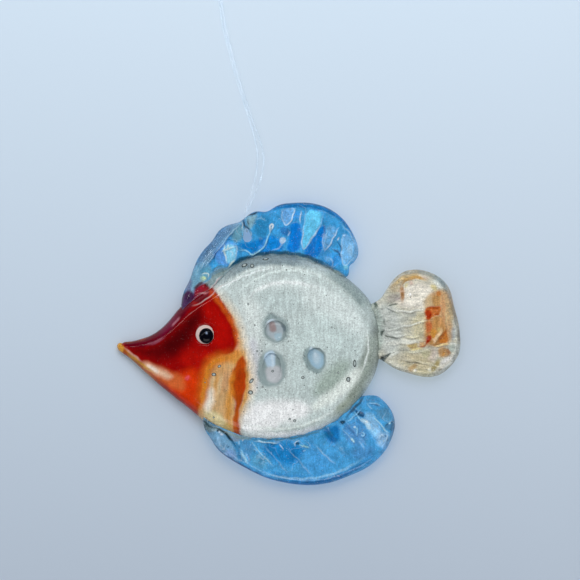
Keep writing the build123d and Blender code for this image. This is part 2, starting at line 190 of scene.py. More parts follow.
def slab(ring, low, high):
    """A solid over a ring of places, to divide glass with."""
    curve = bpy.data.curves.new("slab", "CURVE")
    curve.dimensions = "2D"
    curve.fill_mode = "BOTH"
    curve.extrude = (high - low) / 2
    curve.resolution_u = 6
    spline = curve.splines.new("NURBS")
    spline.points.add(len(ring) - 1)
    for point, (x, y) in zip(spline.points, ring):
        point.co = (x, y, 0, 1)
    spline.order_u = 3
    spline.use_cyclic_u = True
    outline = bpy.data.objects.new("slab", curve)
    scene.collection.objects.link(outline)
    bpy.context.view_layer.update()
    solid = outline.evaluated_get(bpy.context.evaluated_depsgraph_get())
    form = bmesh.new()
    form.from_mesh(bpy.data.meshes.new_from_object(solid))
    bpy.data.objects.remove(outline)
    bmesh.ops.remove_doubles(form, verts=form.verts, dist=SAME_SPOT)
    bmesh.ops.recalc_face_normals(form, faces=form.faces)
    bmesh.ops.translate(form, verts=form.verts, vec=(0, 0, (low + high) / 2))
    return new_piece("slab", form)


def part_off(piece, cutter, name):
    """Divides the piece: what lies in the cutter becomes a piece of its own."""
    inner = bpy.data.objects.new(name, piece.data.copy())
    scene.collection.objects.link(inner)
    for half, operation in ((inner, "INTERSECT"), (piece, "DIFFERENCE")):
        cut = half.modifiers.new("cut", "BOOLEAN")
        cut.operation = operation
        cut.solver = "EXACT"
        cut.object = cutter
        settle(half)
    bpy.data.objects.remove(cutter)
    return inner


# Colours waver by up to this many steps, as they do when glass flows
WAVER = 0.4


def waver(along, aside, pace, bend, bend_pace):
    """How far places drift: a wave along one way, bent by a wave of the other."""
    return WAVER * np.sin(pace * along + bend * np.sin(bend_pace * aside))


def read(mesh, name):
    """The three numbers that the mesh has under a name at each point."""
    values = np.zeros(len(mesh.vertices) * 3)
    mesh.vertices.foreach_get(name, values)
    return values.reshape(-1, 3)


def corners(piece):
    """The piece's points, their wavering places on the sheet, and how far each faces up."""
    co = read(piece.data, "co")
    x = co[:, 0] / STEP + SHEET_ZERO[0]
    y = SHEET_ZERO[1] - co[:, 1] / STEP
    across = waver(y, x, 0.53, 1.3, 0.31)
    down = waver(x, y, 0.47, 1.1, 0.37)
    sheet = np.column_stack((x + across, y + down))
    return co, sheet, np.clip(read(piece.data, "normal")[:, 2], 0, 1)


# Each corner of a line is cut at this share of the runs beside it
CORNER_CUT = 0.25

# A line thins over this share of its length at each end, to this share of its width and
# this share of its colour
THIN_OVER = 0.25
THIN_END = 0.4
PALE_END = 0.15


def eased(line, closed):
    """The line with its corners cut twice, so that it bends softly."""
    points = np.array(line, float)
    for _ in range(2):
        if len(points) < 3:
            break
        after = np.roll(points, -1, axis=0) if closed else points[1:]
        before = points if closed else points[:-1]
        cut = np.empty((2 * len(before), 2))
        cut[0::2] = (1 - CORNER_CUT) * before + CORNER_CUT * after
        cut[1::2] = CORNER_CUT * before + (1 - CORNER_CUT) * after
        points = cut if closed else np.vstack((points[:1], cut, points[-1:]))
    return points


def distance(sheet, points):
    """Each place's distance from a line, in steps, and how far off its ends it is, 0 to 1."""
    if len(points) == 1:
        return np.hypot(*(sheet - points[0]).T), np.ones(len(sheet))
    best = np.full(len(sheet), np.inf)
    run_on = np.zeros(len(sheet))
    runs = np.diff(points, axis=0)
    lengths = np.hypot(*runs.T)
    gone = 0.0
    for start, run, length in zip(points, runs, lengths):
        along = np.clip(((sheet - start) @ run) / length ** 2, 0, 1)
        away = np.hypot(*(sheet - start - along[:, None] * run).T)
        nearer = away < best
        best[nearer] = away[nearer]
        run_on[nearer] = gone + along[nearer] * length
        gone += length
    return best, np.clip(np.minimum(run_on, gone - run_on) / (THIN_OVER * gone), 0, 1)


def within(sheet, ring):
    """Whether each place lies inside the ring."""
    inside = np.zeros(len(sheet), bool)
    x, y = sheet.T
    for (x0, y0), (x1, y1) in zip(ring, np.roll(ring, -1, axis=0)):
        if y0 != y1:
            crossing = (y0 > y) != (y1 > y)
            inside ^= crossing & (x < x0 + (y - y0) * (x1 - x0) / (y1 - y0))
    return inside


def cover(sheet, half, soft, line):
    """How far a stroke covers each place: a filled ring, or a line that thins at its ends."""
    result = np.zeros(len(sheet))
    reach = (half or 0) + soft
    low = np.min(line, axis=0) - reach
    high = np.max(line, axis=0) + reach
    near = np.all((sheet > low) & (sheet < high), axis=1)
    spots = sheet[near]
    if half is None:
        ring = eased(line, True)
        edge = distance(spots, np.vstack((ring, ring[:1])))[0]
        share = 0.5 + np.where(within(spots, ring), edge, -edge) / soft
        ends = 1.0
    else:
        away, ends = distance(spots, eased(line, False))
        share = (half * (THIN_END + (1 - THIN_END) * ends) + soft - away) / soft
        ends = PALE_END + (1 - PALE_END) * ends
    share = np.clip(share, 0, 1)
    result[near] = ends * share * share * (3 - 2 * share)
    return result


# A raised line gets painted shade beside it: the glass there is darkened by this much, this far
# off on the sheet
SHADE = 0.4
SHADE_SIDE = (0.8, 1.3)


def lay(piece, colour, clearness):
    """Keeps a colour and a clearness at each point, for the glass to read."""
    layer = piece.data.color_attributes.new("Tint", "FLOAT_COLOR", "POINT")
    layer.data.foreach_set("color", np.column_stack((colour, clearness)).ravel())


def paint(piece, base, clear, strokes, lift=1.0, clear_strokes=()):
    """Lays colour in the glass, and how clear it is: stroke by stroke on a base."""
    _, sheet, _ = corners(piece)
    colour = np.tile(linear(base), (len(sheet), 1))
    for stroke, amount, half, soft, line, *height in strokes:
        # painted shade beside each raised line, to its lower right on the sheet
        if half is not None and height and height[0] > 0:
            beside = cover(sheet - SHADE_SIDE, half, soft, line)
            colour *= 1 - SHADE * amount * beside[:, None]
        share = amount * cover(sheet, half, soft, line)
        colour += share[:, None] * (linear(stroke) - colour)
    colour = 1 - np.clip(1 - colour, 0, 1) ** lift
    clearness = np.full(len(sheet), float(clear))
    for value, amount, half, soft, line in clear_strokes:
        clearness += amount * cover(sheet, half, soft, line) * (value - clearness)
    lay(piece, colour, clearness)


def press(piece, strokes):
    """Raises or sinks the piece's front along the strokes that have a height."""
    co, sheet, up = corners(piece)
    for _, _, half, soft, line, *height in strokes:
        if height:
            co[:, 2] += height[0] * MM * up * cover(sheet, half, soft, line)
    piece.data.vertices.foreach_set("co", co.ravel())
    piece.data.update()


# Edges that turn by more than this many degrees stay sharp
CREASE = 40


def finish(piece, material, replaced):
    piece.data.shade_smooth()
    piece.data.set_sharp_from_angle(angle=math.radians(CREASE))
    piece.data.materials.clear()
    piece.data.materials.append(material)
    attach(piece, "root")
    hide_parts(*replaced)
    return piece


# ---- materials ----
class Nodes:
    """The nodes of a material or a world, made one after another."""

    def __init__(self, holder):
        holder.use_nodes = True
        self.holder = holder
        self.tree = holder.node_tree
        self.tree.nodes.clear()

    def add(self, kind, inputs=None, **settings):
        node = self.tree.nodes.new(kind)
        for key, value in settings.items():
            setattr(node, key, value)
        for key, value in (inputs or {}).items():
            if isinstance(value, bpy.types.NodeSocket):
                self.tree.links.new(value, node.inputs[key])
            else:
                node.inputs[key].default_value = value
        return node

    def noise(self, where, scale, detail=3, rough=0.5, warp=0):
        return self.add("ShaderNodeTexNoise", {
            "Vector": where, "Scale": scale, "Detail": detail, "Roughness": rough,
            "Distortion": warp}).outputs["Fac"]

    def spread(self, value, low, high, new_low, new_high):
        return self.add("ShaderNodeMapRange", {
            "Value": value, "From Min": low, "From Max": high,
            "To Min": new_low, "To Max": new_high}).outputs["Result"]

    def mix(self, share, first, second, blend="MIX"):
        # In a mix of colours, socket 0 is the share and 6 and 7 are the two colours
        return self.add("ShaderNodeMix", {0: share, 6: first, 7: second}, data_type="RGBA",
                        blend_type=blend).outputs[2]

    def reckon(self, first, second, how="ADD"):
        return self.add("ShaderNodeMath", {0: first, 1: second}, operation=how).outputs[0]

    def shadow_through(self, shader, light):
        """The shader, with shadows that the light passes through in a colour."""
        passing = self.add("ShaderNodeBsdfTransparent", {"Color": light})
        path = self.add("ShaderNodeLightPath")
        return self.add("ShaderNodeMixShader", {
            0: path.outputs["Is Shadow Ray"], 1: shader, 2: passing.outputs[0]}).outputs[0]

    def end(self, shader, kind="ShaderNodeOutputMaterial"):
        self.add(kind, {"Surface": shader})
        return self.holder


# Patterns in the glass: how many repeats to a metre, and what a noise mostly lies between
CLOUD_SCALE = 330
GRAIN_SCALE = 2300
STREAK_SCALE = 1500
WHORL_SCALE = 170
PATCH_SCALE = 130
RIPPLE_SCALE = 420
NOISE_RANGE = (0.32, 0.68)

# Whorls: bright lines with a dark side where a slow noise has these values, and the lines'
# core and edge as differences from them
WHORLS = ((0.515, "1c4a66"), (0.5, "ffffff"))
WHORL_LINE = (0.002, 0.010)

# Share of the light's own colour in what passes into a shadow; the rest is the glass's
SHADOW_TINT = 0.9


def glass(name, roughness, cloud, grain, ripple, streak=0.0, dots=0.0, glints=0.0, whorls=0.0,
          level=0.5, through=None, draw=(1.0, 0.12, 1.0)):
    """Hand-worked glass whose colour and clearness are laid in it, with clouds, grain, drawn
    streaks, dark dots, bright glints and fine whorls."""
    m = Nodes(bpy.data.materials.new(name))
    where = m.add("ShaderNodeTexCoord").outputs["Object"]
    tint = m.add("ShaderNodeAttribute", attribute_name="Tint")
    drawn = m.add("ShaderNodeMapping", {"Vector": where, "Scale": draw}).outputs[0]
    clouds = m.noise(where, CLOUD_SCALE, 5, 0.65, 0.5)
    fine = m.noise(where, GRAIN_SCALE, 3, 0.75)
    lines = m.noise(drawn, STREAK_SCALE, 2, 0.6)
    colour = tint.outputs["Color"]
    for value, swing in ((clouds, cloud), (fine, grain), (lines, streak)):
        grey = m.spread(value, *NOISE_RANGE, 1 - swing, 1 + swing)
        shade = m.add("ShaderNodeCombineColor", {i: grey for i in range(3)}).outputs[0]
        colour = m.mix(1.0, colour, shade, "MULTIPLY")
    slow = m.noise(where, WHORL_SCALE, 1, 0.5, 0.8)
    patches = m.spread(m.noise(where, PATCH_SCALE, 2), 0.46, 0.6, 0, whorls)
    for middle, speck in WHORLS:
        off = m.reckon(m.reckon(slow, middle, "SUBTRACT"), 0, "ABSOLUTE")
        drawing = m.reckon(m.spread(off, *WHORL_LINE, 1, 0), patches, "MULTIPLY")
        colour = m.mix(drawing, colour, rgba(speck))
    specks = ((620.0, 0.10, 0.6, dots, "4c5a58"), (1350.0, 0.15, 0.72, dots, "4c5a58"),
              (1900.0, 0.20, 0.70, glints, "ffffff"))
    for scale, size, share, amount, speck in specks:
        cells = m.add("ShaderNodeTexVoronoi", {"Vector": where, "Scale": scale})
        dot = m.spread(cells.outputs["Distance"], size * 0.6, size * 1.4, 1, 0)
        pick = m.add("ShaderNodeSeparateColor", {0: cells.outputs["Color"]}).outputs[0]
        chosen = m.spread(pick, share, share + 0.15, 0, amount)
        colour = m.mix(m.reckon(dot, chosen, "MULTIPLY"), colour, rgba(speck))
    height = m.reckon(m.noise(where, RIPPLE_SCALE), m.reckon(fine, 0.12, "MULTIPLY"))
    bump = m.add("ShaderNodeBump", {"Height": height, "Strength": ripple, "Distance": 0.00012})
    shader = m.add("ShaderNodeBsdfPrincipled", {
        "Base Color": colour, "Roughness": roughness, "IOR": 1.5, "Normal": bump.outputs[0],
        "Specular IOR Level": level, "Transmission Weight": tint.outputs["Alpha"]}).outputs[0]
    if through is not None:
        light = m.mix(SHADOW_TINT, tint.outputs["Color"], rgba(through))
        shader = m.shadow_through(shader, light)
    return m.end(shader)


clear_glass = glass("clear_glass", roughness=0.08, cloud=0.12, grain=0.30, ripple=0.25,
                    streak=0.14, dots=1.0, glints=0.3, through="e4ecec")
red_glass = glass("red_glass", roughness=0.07, cloud=0.16, grain=0.14, ripple=0.10,
                  streak=0.04, dots=0.15, glints=0.05, level=0.25)
cream_glass = glass("cream_glass", roughness=0.09, cloud=0.08, grain=0.18, ripple=0.2,
                    streak=0.16, dots=0.6, glints=0.1, level=0.35)
orange_glass = glass("orange_glass", roughness=0.08, cloud=0.14, grain=0.16, ripple=0.2,
                     streak=0.10, dots=0.3, level=0.35)
blue_glass = glass("blue_glass", roughness=0.05, cloud=0.26, grain=0.24, ripple=0.6,
                   streak=0.14, dots=0.35, glints=0.3, whorls=0.25, through="e6f0f4",
                   draw=(1.0, 0.35, 1.0))
tail_glass = glass("tail_glass", roughness=0.06, cloud=0.22, grain=0.32, ripple=0.9,
                   streak=0.20, dots=0.8, glints=0.6, whorls=0.15, through="f2f2ee",
                   draw=(0.25, 1.0, 1.0))
amber_glass = glass("amber_glass", roughness=0.06, cloud=0.18, grain=0.30, ripple=0.6,
                    streak=0.14, dots=0.3, glints=0.2, through="f0d8bc")
opal_glass = glass("opal_glass", roughness=0.07, cloud=0.04, grain=0.08, ripple=0.12, dots=0.2)
white_glass = glass("white_glass", roughness=0.06, cloud=0.04, grain=0.02, ripple=0.08)
black_glass = glass("black_glass", roughness=0.04, cloud=0.10, grain=0.05, ripple=0.05,
                    level=0.15)


def thread_material():
    """Clear nylon: a little wear, and hardly a shadow."""
    m = Nodes(bpy.data.materials.new("clear_thread"))
    where = m.add("ShaderNodeTexCoord").outputs["Object"]
    wear = m.noise(where, 500, 3)
    colour = m.mix(m.spread(wear, 0.35, 0.65, 0, 1), rgba("f0f5fa"), rgba("ffffff"))
    bump = m.add("ShaderNodeBump", {"Height": wear, "Strength": 0.15, "Distance": 0.00002})
    shader = m.add("ShaderNodeBsdfPrincipled", {
        "Base Color": colour, "Roughness": 0.12, "IOR": 1.1, "Transmission Weight": 0.92,
        "Alpha": 0.4, "Normal": bump.outputs[0]})
    return m.end(m.shadow_through(shader.outputs[0], rgba("f4f8fb")))


clear_thread = thread_material()

front = strand("thread_front_line", FRONT_ROUTE)
back = strand("thread_back_line", BACK_ROUTE)
nodes["thread_knot"].data.materials.clear()
nodes["thread_knot"].data.materials.append(clear_thread)
# Both strands leave the hole where their routes start
for thread, node, length in ((front, "thread_front", FRONT_LENGTH),
                             (back, "thread_back", BACK_LENGTH)):
    thread.data.materials.append(clear_thread)
    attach(thread, "root")
    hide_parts(node)


# ---- body, head, cheek band and gill streak: one pillow of glass in four colours ----
HEAD_BORDER = [
    (-1.12, 0.985), (-1.036, 0.875), (-0.969, 0.730), (-0.868, 0.596), (-0.790, 0.495),
    (-0.723, 0.383), (-0.667, 0.272), (-0.622, 0.160), (-0.594, 0.048), (-0.600, -0.041),
    (-0.656, -0.112), (-0.768, -0.100), (-0.846, -0.131), (-0.915, -0.205), (-0.947, -0.287),
    (-0.969, -0.377), (-0.985, -0.489), (-1.014, -0.600), (-1.036, -0.712), (-1.070, -0.800),
    (-1.125, -0.913), (-1.200, -1.020), (-1.4, -1.4), (-2.6, -1.4), (-2.6, 1.3), (-1.3, 1.3),
]
GILL_RING = [
    (-0.533, -0.131), (-0.562, -0.176), (-0.608, -0.243), (-0.640, -0.321), (-0.656, -0.410),
    (-0.650, -0.511), (-0.617, -0.623), (-0.611, -0.735), (-0.622, -0.835), (-0.645, -0.936),
    (-0.645, -1.080), (-0.645, -1.3), (-0.575, -1.3), (-0.575, -1.080), (-0.590, -0.936),
    (-0.582, -0.835), (-0.555, -0.735), (-0.522, -0.600), (-0.497, -0.444), (-0.485, -0.287),
    (-0.496, -0.176),
]
CHEEK_RING = [
    (-0.50, 0.02), (-0.520, -0.10), (-0.562, -0.186), (-0.608, -0.253), (-0.635, -0.321),
    (-0.650, -0.410), (-0.642, -0.511), (-0.609, -0.623), (-0.603, -0.735), (-0.614, -0.835),
    (-0.637, -0.936), (-0.637, -1.4), (-2.6, -1.4), (-2.6, 0.10), (-0.8, 0.10),
]


def on_body(ring):
    return [(CENTRE[0] + x * BODY_RADIUS, CENTRE[1] + y * BODY_RADIUS) for x, y in ring]


# Opal drops in the body's front: rings on the sheet
DROP_RINGS = {
    "upper": [(266, 320), (275, 317), (284, 321), (288, 331), (285, 340), (276, 344),
              (267, 341), (263, 331)],
    "lower": [(265, 347), (275, 345), (283, 354), (286, 369), (282, 383), (272, 389),
              (261, 383), (259, 366)],
    "rear": [(307, 348), (316, 345), (323, 350), (327, 359), (324, 368), (316, 372),
             (308, 368), (305, 358)],
}
DROP_RISE = 0.05
DROP_SOFT = 10
DROP_FLOOR = 0.0064
BODY_TOP = 0.012
BODY_UNDER = -0.002

body = fused("glass_body", ["body", "head", "cheek_band", "gill_streak"], *BODY_SKIN)
press(body, [("", 0, None, DROP_SOFT, ring, DROP_RISE) for ring in DROP_RINGS.values()])
head = part_off(body, slab(on_body(HEAD_BORDER), BODY_UNDER, BODY_TOP), "glass_head")
gill = part_off(body, slab(on_body(GILL_RING), BODY_UNDER, BODY_TOP), "glass_gill_streak")
cheek = part_off(body, slab(on_body(CHEEK_RING), BODY_UNDER, BODY_TOP), "glass_cheek_band")
drops = {}
for name, ring in DROP_RINGS.items():
    cutter = slab([place(*spot) for spot in ring], DROP_FLOOR, BODY_TOP)
    drops[name] = part_off(body, cutter, "opal_drop_" + name)

# Strokes: colour, amount, half its width or None for a filled ring, softness of its edge,
# its line or ring, and for some how far it stands out in millimetres
WHITE = "dceefa"
PILLOW_STROKES = [
    # rim: painted shade, darker above than below, and a painted glow of light along the bottom
    ("81939a", 0.9, 4, 5, [(214, 284), (232, 270), (250, 261), (275, 258), (300, 260),
        (322, 267)]),
    ("849696", 0.8, 4, 7, [(322, 266), (345, 280), (362, 297), (372, 314)]),
    ("818b87", 0.9, 4.2, 6, [(374, 314), (379, 335), (378, 355), (370, 378)]),
    ("a4ae9c", 0.85, 4.2, 6, [(366, 384), (352, 402), (334, 418)]),
    ("ffffff", 1, 3, 5, [(246, 435), (275, 438), (305, 435), (328, 425)]),
    # painted light and shade in the clear glass: a pale glow, brightest towards the bottom,
    # darker patches near the right rim, and thin painted highlights along the crest
    ("d2e0de", 0.85, None, 24, [(292, 330), (330, 312), (356, 334), (358, 356), (342, 384),
        (316, 396), (292, 384), (288, 350)]),
    ("a8b8ad", 0.85, None, 14, [(318, 376), (340, 358), (352, 362), (346, 380), (330, 394),
        (312, 396)]),
    ("c6d4d3", 0.6, None, 16, [(258, 294), (292, 290), (304, 306), (286, 314), (262, 310)]),
    ("e2e9e6", 0.8, None, 14, [(238, 300), (252, 296), (262, 310), (262, 340), (256, 380),
        (248, 396), (246, 360), (243, 330)]),
    ("d3d3da", 0.75, None, 8, [(247, 338), (258, 338), (262, 380), (254, 396), (247, 384)]),
    ("e6efed", 0.7, 1.5, 6, [(240, 294), (258, 286), (280, 283), (302, 284), (326, 292),
        (346, 306), (359, 322), (366, 338), (367, 354)]),
    ("e6eeec", 0.7, None, 18, [(300, 286), (330, 294), (352, 312), (360, 332), (346, 330),
        (330, 316), (306, 306)]),
    ("97a298", 0.85, None, 8, [(362, 352), (374, 346), (374, 372), (360, 392), (346, 402),
        (350, 384)]),
    ("a4aea5", 0.8, 4, 8, [(372, 330), (373, 350), (366, 368)]),
    ("f4faf4", 0.9, None, 9, [(364, 366), (354, 386), (334, 402), (312, 412), (312, 402),
        (334, 388), (350, 370)]),
    ("ffffff", 1, None, 12, [(246, 404), (276, 398), (312, 402), (306, 418), (272, 425),
        (246, 421)]),
    ("ffffff", 0.9, None, 7, [(243, 408), (266, 410), (284, 426), (252, 432), (240, 430)]),
    ("fbfffe", 0.8, 0.4, 2.5, [(248, 297), (262, 287), (280, 282), (300, 283), (318, 288)]),
    ("f4fffc", 0.8, 0.3, 1.4, [(240, 291), (256, 279), (272, 272), (287, 269.5), (300, 271),
        (314, 276)]),
    ("f8ffff", 0.85, 0.2, 1.1, [(211, 293), (224, 286), (238, 279), (252, 273), (266, 269),
        (278, 268)]),
    ("f4fbf8", 0.8, 0.3, 1.2, [(366, 330), (368.5, 345), (366.5, 358), (361, 372)]),
    ("e6eee8", 0.6, 0.3, 2, [(245, 424), (262, 427), (286, 429), (308, 424), (330, 412)]),
    ("b4c2bc", 0.4, 0.6, 3, [(252, 436), (280, 440), (308, 436)]),
    # amber that bleeds out of the head and the gill streak
    ("f3e6d2", 0.8, 2, 8, [(214, 286), (224, 300), (234, 316), (240, 332), (243, 348),
        (249, 364), (251, 384), (247, 404), (243, 420)]),
    ("e8c08a", 0.9, 0.6, 6, [(211, 287), (220, 300), (229, 313), (235, 326), (239, 340),
        (242, 352), (246, 364), (248, 382), (245.5, 398), (241, 412), (238, 426), (240, 438)]),
    # upper opal drop, in a grey halo of painted shadow, with a painted highlight
    ("8c9e9f", 0.85, None, 5, [(262, 322), (268, 312), (278, 315), (288, 322), (290, 334),
        (282, 343), (270, 342), (263, 334)]),
    ("bcc7ce", 0.85, None, 3, [(266, 322), (274, 319), (282, 324), (284, 334), (278, 341),
        (270, 338), (266, 330)]),
    ("a68c8a", 0.85, None, 3, [(269, 322), (275, 321), (277, 329), (273, 333), (269, 330)]),
    ("aecbd8", 0.85, None, 3, [(274, 333), (282, 332), (282, 339), (276, 341)]),
    (WHITE, 0.8, 0.5, 1.4, [(267, 323), (270, 320.5), (275, 320)]),
    ("71818b", 0.8, 0.6, 1.6, [(281.5, 324), (284, 328), (284, 333)]),
    # lower opal drop, in a grey halo of painted shadow
    ("90a2a3", 0.85, None, 4, [(263, 350), (257, 366), (258, 380), (266, 387), (280, 385),
        (287, 372), (284, 356), (276, 350)]),
    ("d0d2d6", 0.9, None, 4, [(265, 366), (280, 364), (283, 376), (276, 383), (267, 381)]),
    ("c8e2f6", 0.9, None, 3, [(264, 354), (268, 350.5), (275, 351), (276, 366), (266, 367)]),
    (WHITE, 0.8, 0.5, 1.4, [(272.8, 352.5), (272.6, 368.5)]),
    ("5a696e", 0.8, 0.5, 1.2, [(273.3, 371)]),
    # rear opal drop, in a grey halo of painted shadow, with painted highlights
    ("899d9e", 0.85, None, 3, [(303, 350), (309, 346), (320, 347), (326, 356), (325, 368),
        (318, 374), (308, 370), (303, 360)]),
    ("a6c8dc", 0.95, None, 2.5, [(307, 351), (312, 347.5), (320, 350), (324.5, 357), (323, 366),
        (316, 369), (309, 363)]),
    ("cbe0ec", 0.8, None, 4, [(312, 352), (319, 352), (321, 362), (314, 364)]),
    (WHITE, 0.8, 0.5, 1.4, [(309, 349), (313, 347.5)]),
    (WHITE, 0.8, 0.5, 1.5, [(314, 352), (316, 357)]),
    # cheek band
    ("d9b07c", 1, None, 4, [(207, 350), (243, 348), (246, 358), (241, 368), (236, 380),
        (234, 394), (236, 404), (237, 420), (237, 436), (233, 446), (200, 424), (194, 412),
        (200, 380)]),
    ("dca468", 0.8, None, 8, [(210, 368), (224, 364), (232, 368), (230, 384), (220, 396),
        (206, 396)]),
    ("cfa078", 0.6, 1.5, 4, [(228, 368), (226, 380), (222, 392)]),
    ("ecd6a8", 0.6, 0.8, 3, [(214, 372), (212, 384), (210, 394)]),
    ("ecd6a8", 0.5, 0.6, 2.5, [(222, 372), (220, 386), (217, 398)]),
    ("d9a258", 0.5, 0.5, 2.5, [(217, 374), (215.5, 388), (213, 398)]),
    ("e8daa6", 0.85, None, 6, [(200, 408), (214, 410), (224, 416), (234, 430), (228, 432),
        (210, 422)]),
    ("e29b45", 0.9, None, 9, [(204, 352), (222, 350), (240, 346), (246, 360), (238, 366),
        (230, 362), (217, 364), (208, 374)]),
    ("fff8e8", 0.95, None, 8, [(208, 388), (214, 388), (214, 402), (209, 412), (203, 408)]),
    ("dd8a34", 0.8, 0.2, 3.5, [(208, 364), (205, 378), (202.5, 392), (200, 408)]),
    ("e2983a", 0.85, None, 8, [(226, 392), (233, 390), (233, 406), (231, 420), (235, 433),
        (229, 430), (225, 414)]),
    ("dbb86c", 0.7, 2, 4, [(222, 424), (232, 431)]),
    # gill streak
    ("bc4a0a", 1, None, 3.5, [(243.5, 354), (247, 364), (247.5, 380), (244.5, 396),
        (240.5, 406), (239, 416), (240, 428), (241.5, 438), (236, 438), (233.5, 428),
        (234.5, 414), (236, 402), (231.5, 392), (230, 382), (233, 370), (238, 360)]),
    ("e08a2c", 0.75, 0.8, 3.5, [(235, 368), (231.5, 380), (231, 390), (236, 400)]),
    ("b83c04", 0.85, 2.5, 4, [(241, 368), (242, 382), (241, 396)]),
    ("e0a050", 0.8, 0.4, 2, [(245, 362), (248, 378), (246.5, 394), (242.5, 406), (238, 418)]),
    ("c25a14", 0.8, 0.6, 2, [(240, 402), (236, 413), (234, 424), (236.5, 432), (240, 436)]),
    # head
    ("9c0402", 1, None, 3.5, [(206, 270), (214, 289), (222, 300), (230, 313), (235, 326),
        (238, 338), (237, 348), (232, 354), (220, 354), (210, 360), (205, 372), (203, 388),
        (201, 402), (198, 414), (196, 424), (150, 400), (100, 380), (100, 330), (150, 300),
        (190, 270)]),
    ("640003", 0.95, None, 16, [(130, 349), (150, 348), (172, 334), (186, 318), (200, 304),
        (207, 306), (204, 318), (196, 332), (188, 346), (176, 358), (158, 360), (142, 356)]),
    ("4c0002", 0.8, None, 12, [(165, 342), (180, 330), (192, 318), (198, 322), (190, 338),
        (178, 350), (166, 352)]),
    ("b80a02", 0.9, None, 12, [(206, 300), (216, 306), (226, 318), (231, 332), (229, 348),
        (220, 352), (214, 344), (216, 330), (208, 318), (202, 310)]),
    ("ba0f04", 0.9, None, 12, [(186, 350), (200, 350), (214, 350), (220, 354), (208, 362),
        (200, 372), (186, 366), (180, 358)]),
    ("e43c06", 0.95, None, 13, [(182, 372), (196, 368), (203, 378), (201, 394), (197, 410),
        (186, 404), (172, 392), (164, 384)]),
    # upper slope of the beak, crimson, with painted pink and mauve reflections
    ("640018", 0.95, None, 5, [(121, 341), (150, 334), (170, 318), (183, 303), (196, 303),
        (182, 318), (172, 332), (152, 346), (128, 348)]),
    ("96461f", 0.7, 1, 3, [(120, 341.5), (135, 339.5), (150, 335)]),
    ("86204e", 0.35, 1.2, 4, [(158, 337), (168, 327), (178, 313)]),
    ("b06078", 0.5, 0.4, 2, [(147, 345), (157, 341.5), (165, 337)]),
    ("c88494", 0.6, 0.4, 1.4, [(172, 327), (176, 322), (180, 317)]),
    # lower slope, with its dark red and amber rims and a painted highlight: a pale wedge of
    # painted sheen, a thin painted highlight line and a painted pink glint
    ("98260a", 0.9, 1.5, 3, [(140, 371), (160, 386), (180, 402), (197, 415)]),
    ("b9803e", 0.85, 1, 3, [(122, 353), (132, 362), (146, 374), (158, 384)]),
    ("dc6f38", 0.85, None, 8, [(140, 361), (155, 365), (168, 370.5), (181, 374.5), (186, 380),
        (184, 392), (172, 388), (156, 379), (146, 371)]),
    ("efcdae", 0.8, None, 7, [(142, 361.5), (154, 365.5), (166, 371), (174, 377), (166, 379),
        (154, 373), (146, 368)]),
    ("fff4e8", 0.8, None, 4.5, [(146, 364.5), (154, 367.5), (160, 371.5), (155, 372),
        (149, 368.5)]),
    ("dca898", 0.8, 0.4, 1.3, [(123, 347.5), (129, 352), (136, 357.5), (143, 362)]),
    ("ec5f74", 0.6, 0.8, 2.6, [(186.5, 376), (188, 378), (190, 378.5)]),
    # amber along the border
    ("d9601a", 0.8, 0.3, 4, [(208, 287), (216, 298), (225, 309), (232, 320), (236.5, 332),
        (238, 344), (237, 354)]),
    ("d8661a", 0.8, 1, 9, [(236, 352), (226, 356), (216, 358), (209, 364), (205, 376),
        (203, 390), (201, 402), (198, 413)]),
    ("e08a2a", 0.85, 0.3, 4, [(237, 356), (226, 358), (216, 360), (210, 366), (206, 378),
        (204, 392), (202, 404), (199, 415)]),
    # peak under the dorsal fin
    ("6a0010", 0.9, None, 3, [(193, 302), (194, 292), (199, 285), (207, 285), (210, 296),
        (205, 303)]),
    ("4a0a18", 0.7, 1, 2, [(196, 292), (201, 286)]),
    ("e08a90", 0.75, 0.4, 1.2, [(194, 295), (199, 293), (205, 293.5), (209, 291)]),
    # painted yellow-green glints
    ("dfe48a", 0.8, 0.8, 1.5, [(202, 281), (205, 276)]),
    ("e2a13c", 0.95, 2.5, 3, [(116, 347.5), (124, 351)]),
    ("d09a3e", 0.8, 0.4, 2, [(124, 350), (134, 358.5), (146, 367), (156, 374)]),
    # thin painted reflections of the thread across the peak
    ("f0d8d4", 0.5, 0.1, 0.9, [(192, 306), (201, 303), (210, 297), (220, 287), (228, 282)]),
]

PILLOW_BASE = "d0dcda"
DROP_CLEAR = 0.08
for piece, clear, material, slot, node in (
        (body, 0.12, clear_glass, "clear_glass", "body"),
        (cheek, 0.06, cream_glass, "cream_glass", "cheek_band"),
        (gill, 0.06, orange_glass, "orange_glass", "gill_streak"),
        (head, 0.05, red_glass, "red_glass", "head")):
    paint(piece, PILLOW_BASE, clear, PILLOW_STROKES)
    finish(piece, material, [node])
for name, piece in drops.items():
    paint(piece, PILLOW_BASE, DROP_CLEAR, PILLOW_STROKES)
    finish(piece, opal_glass, ["spot_" + name])


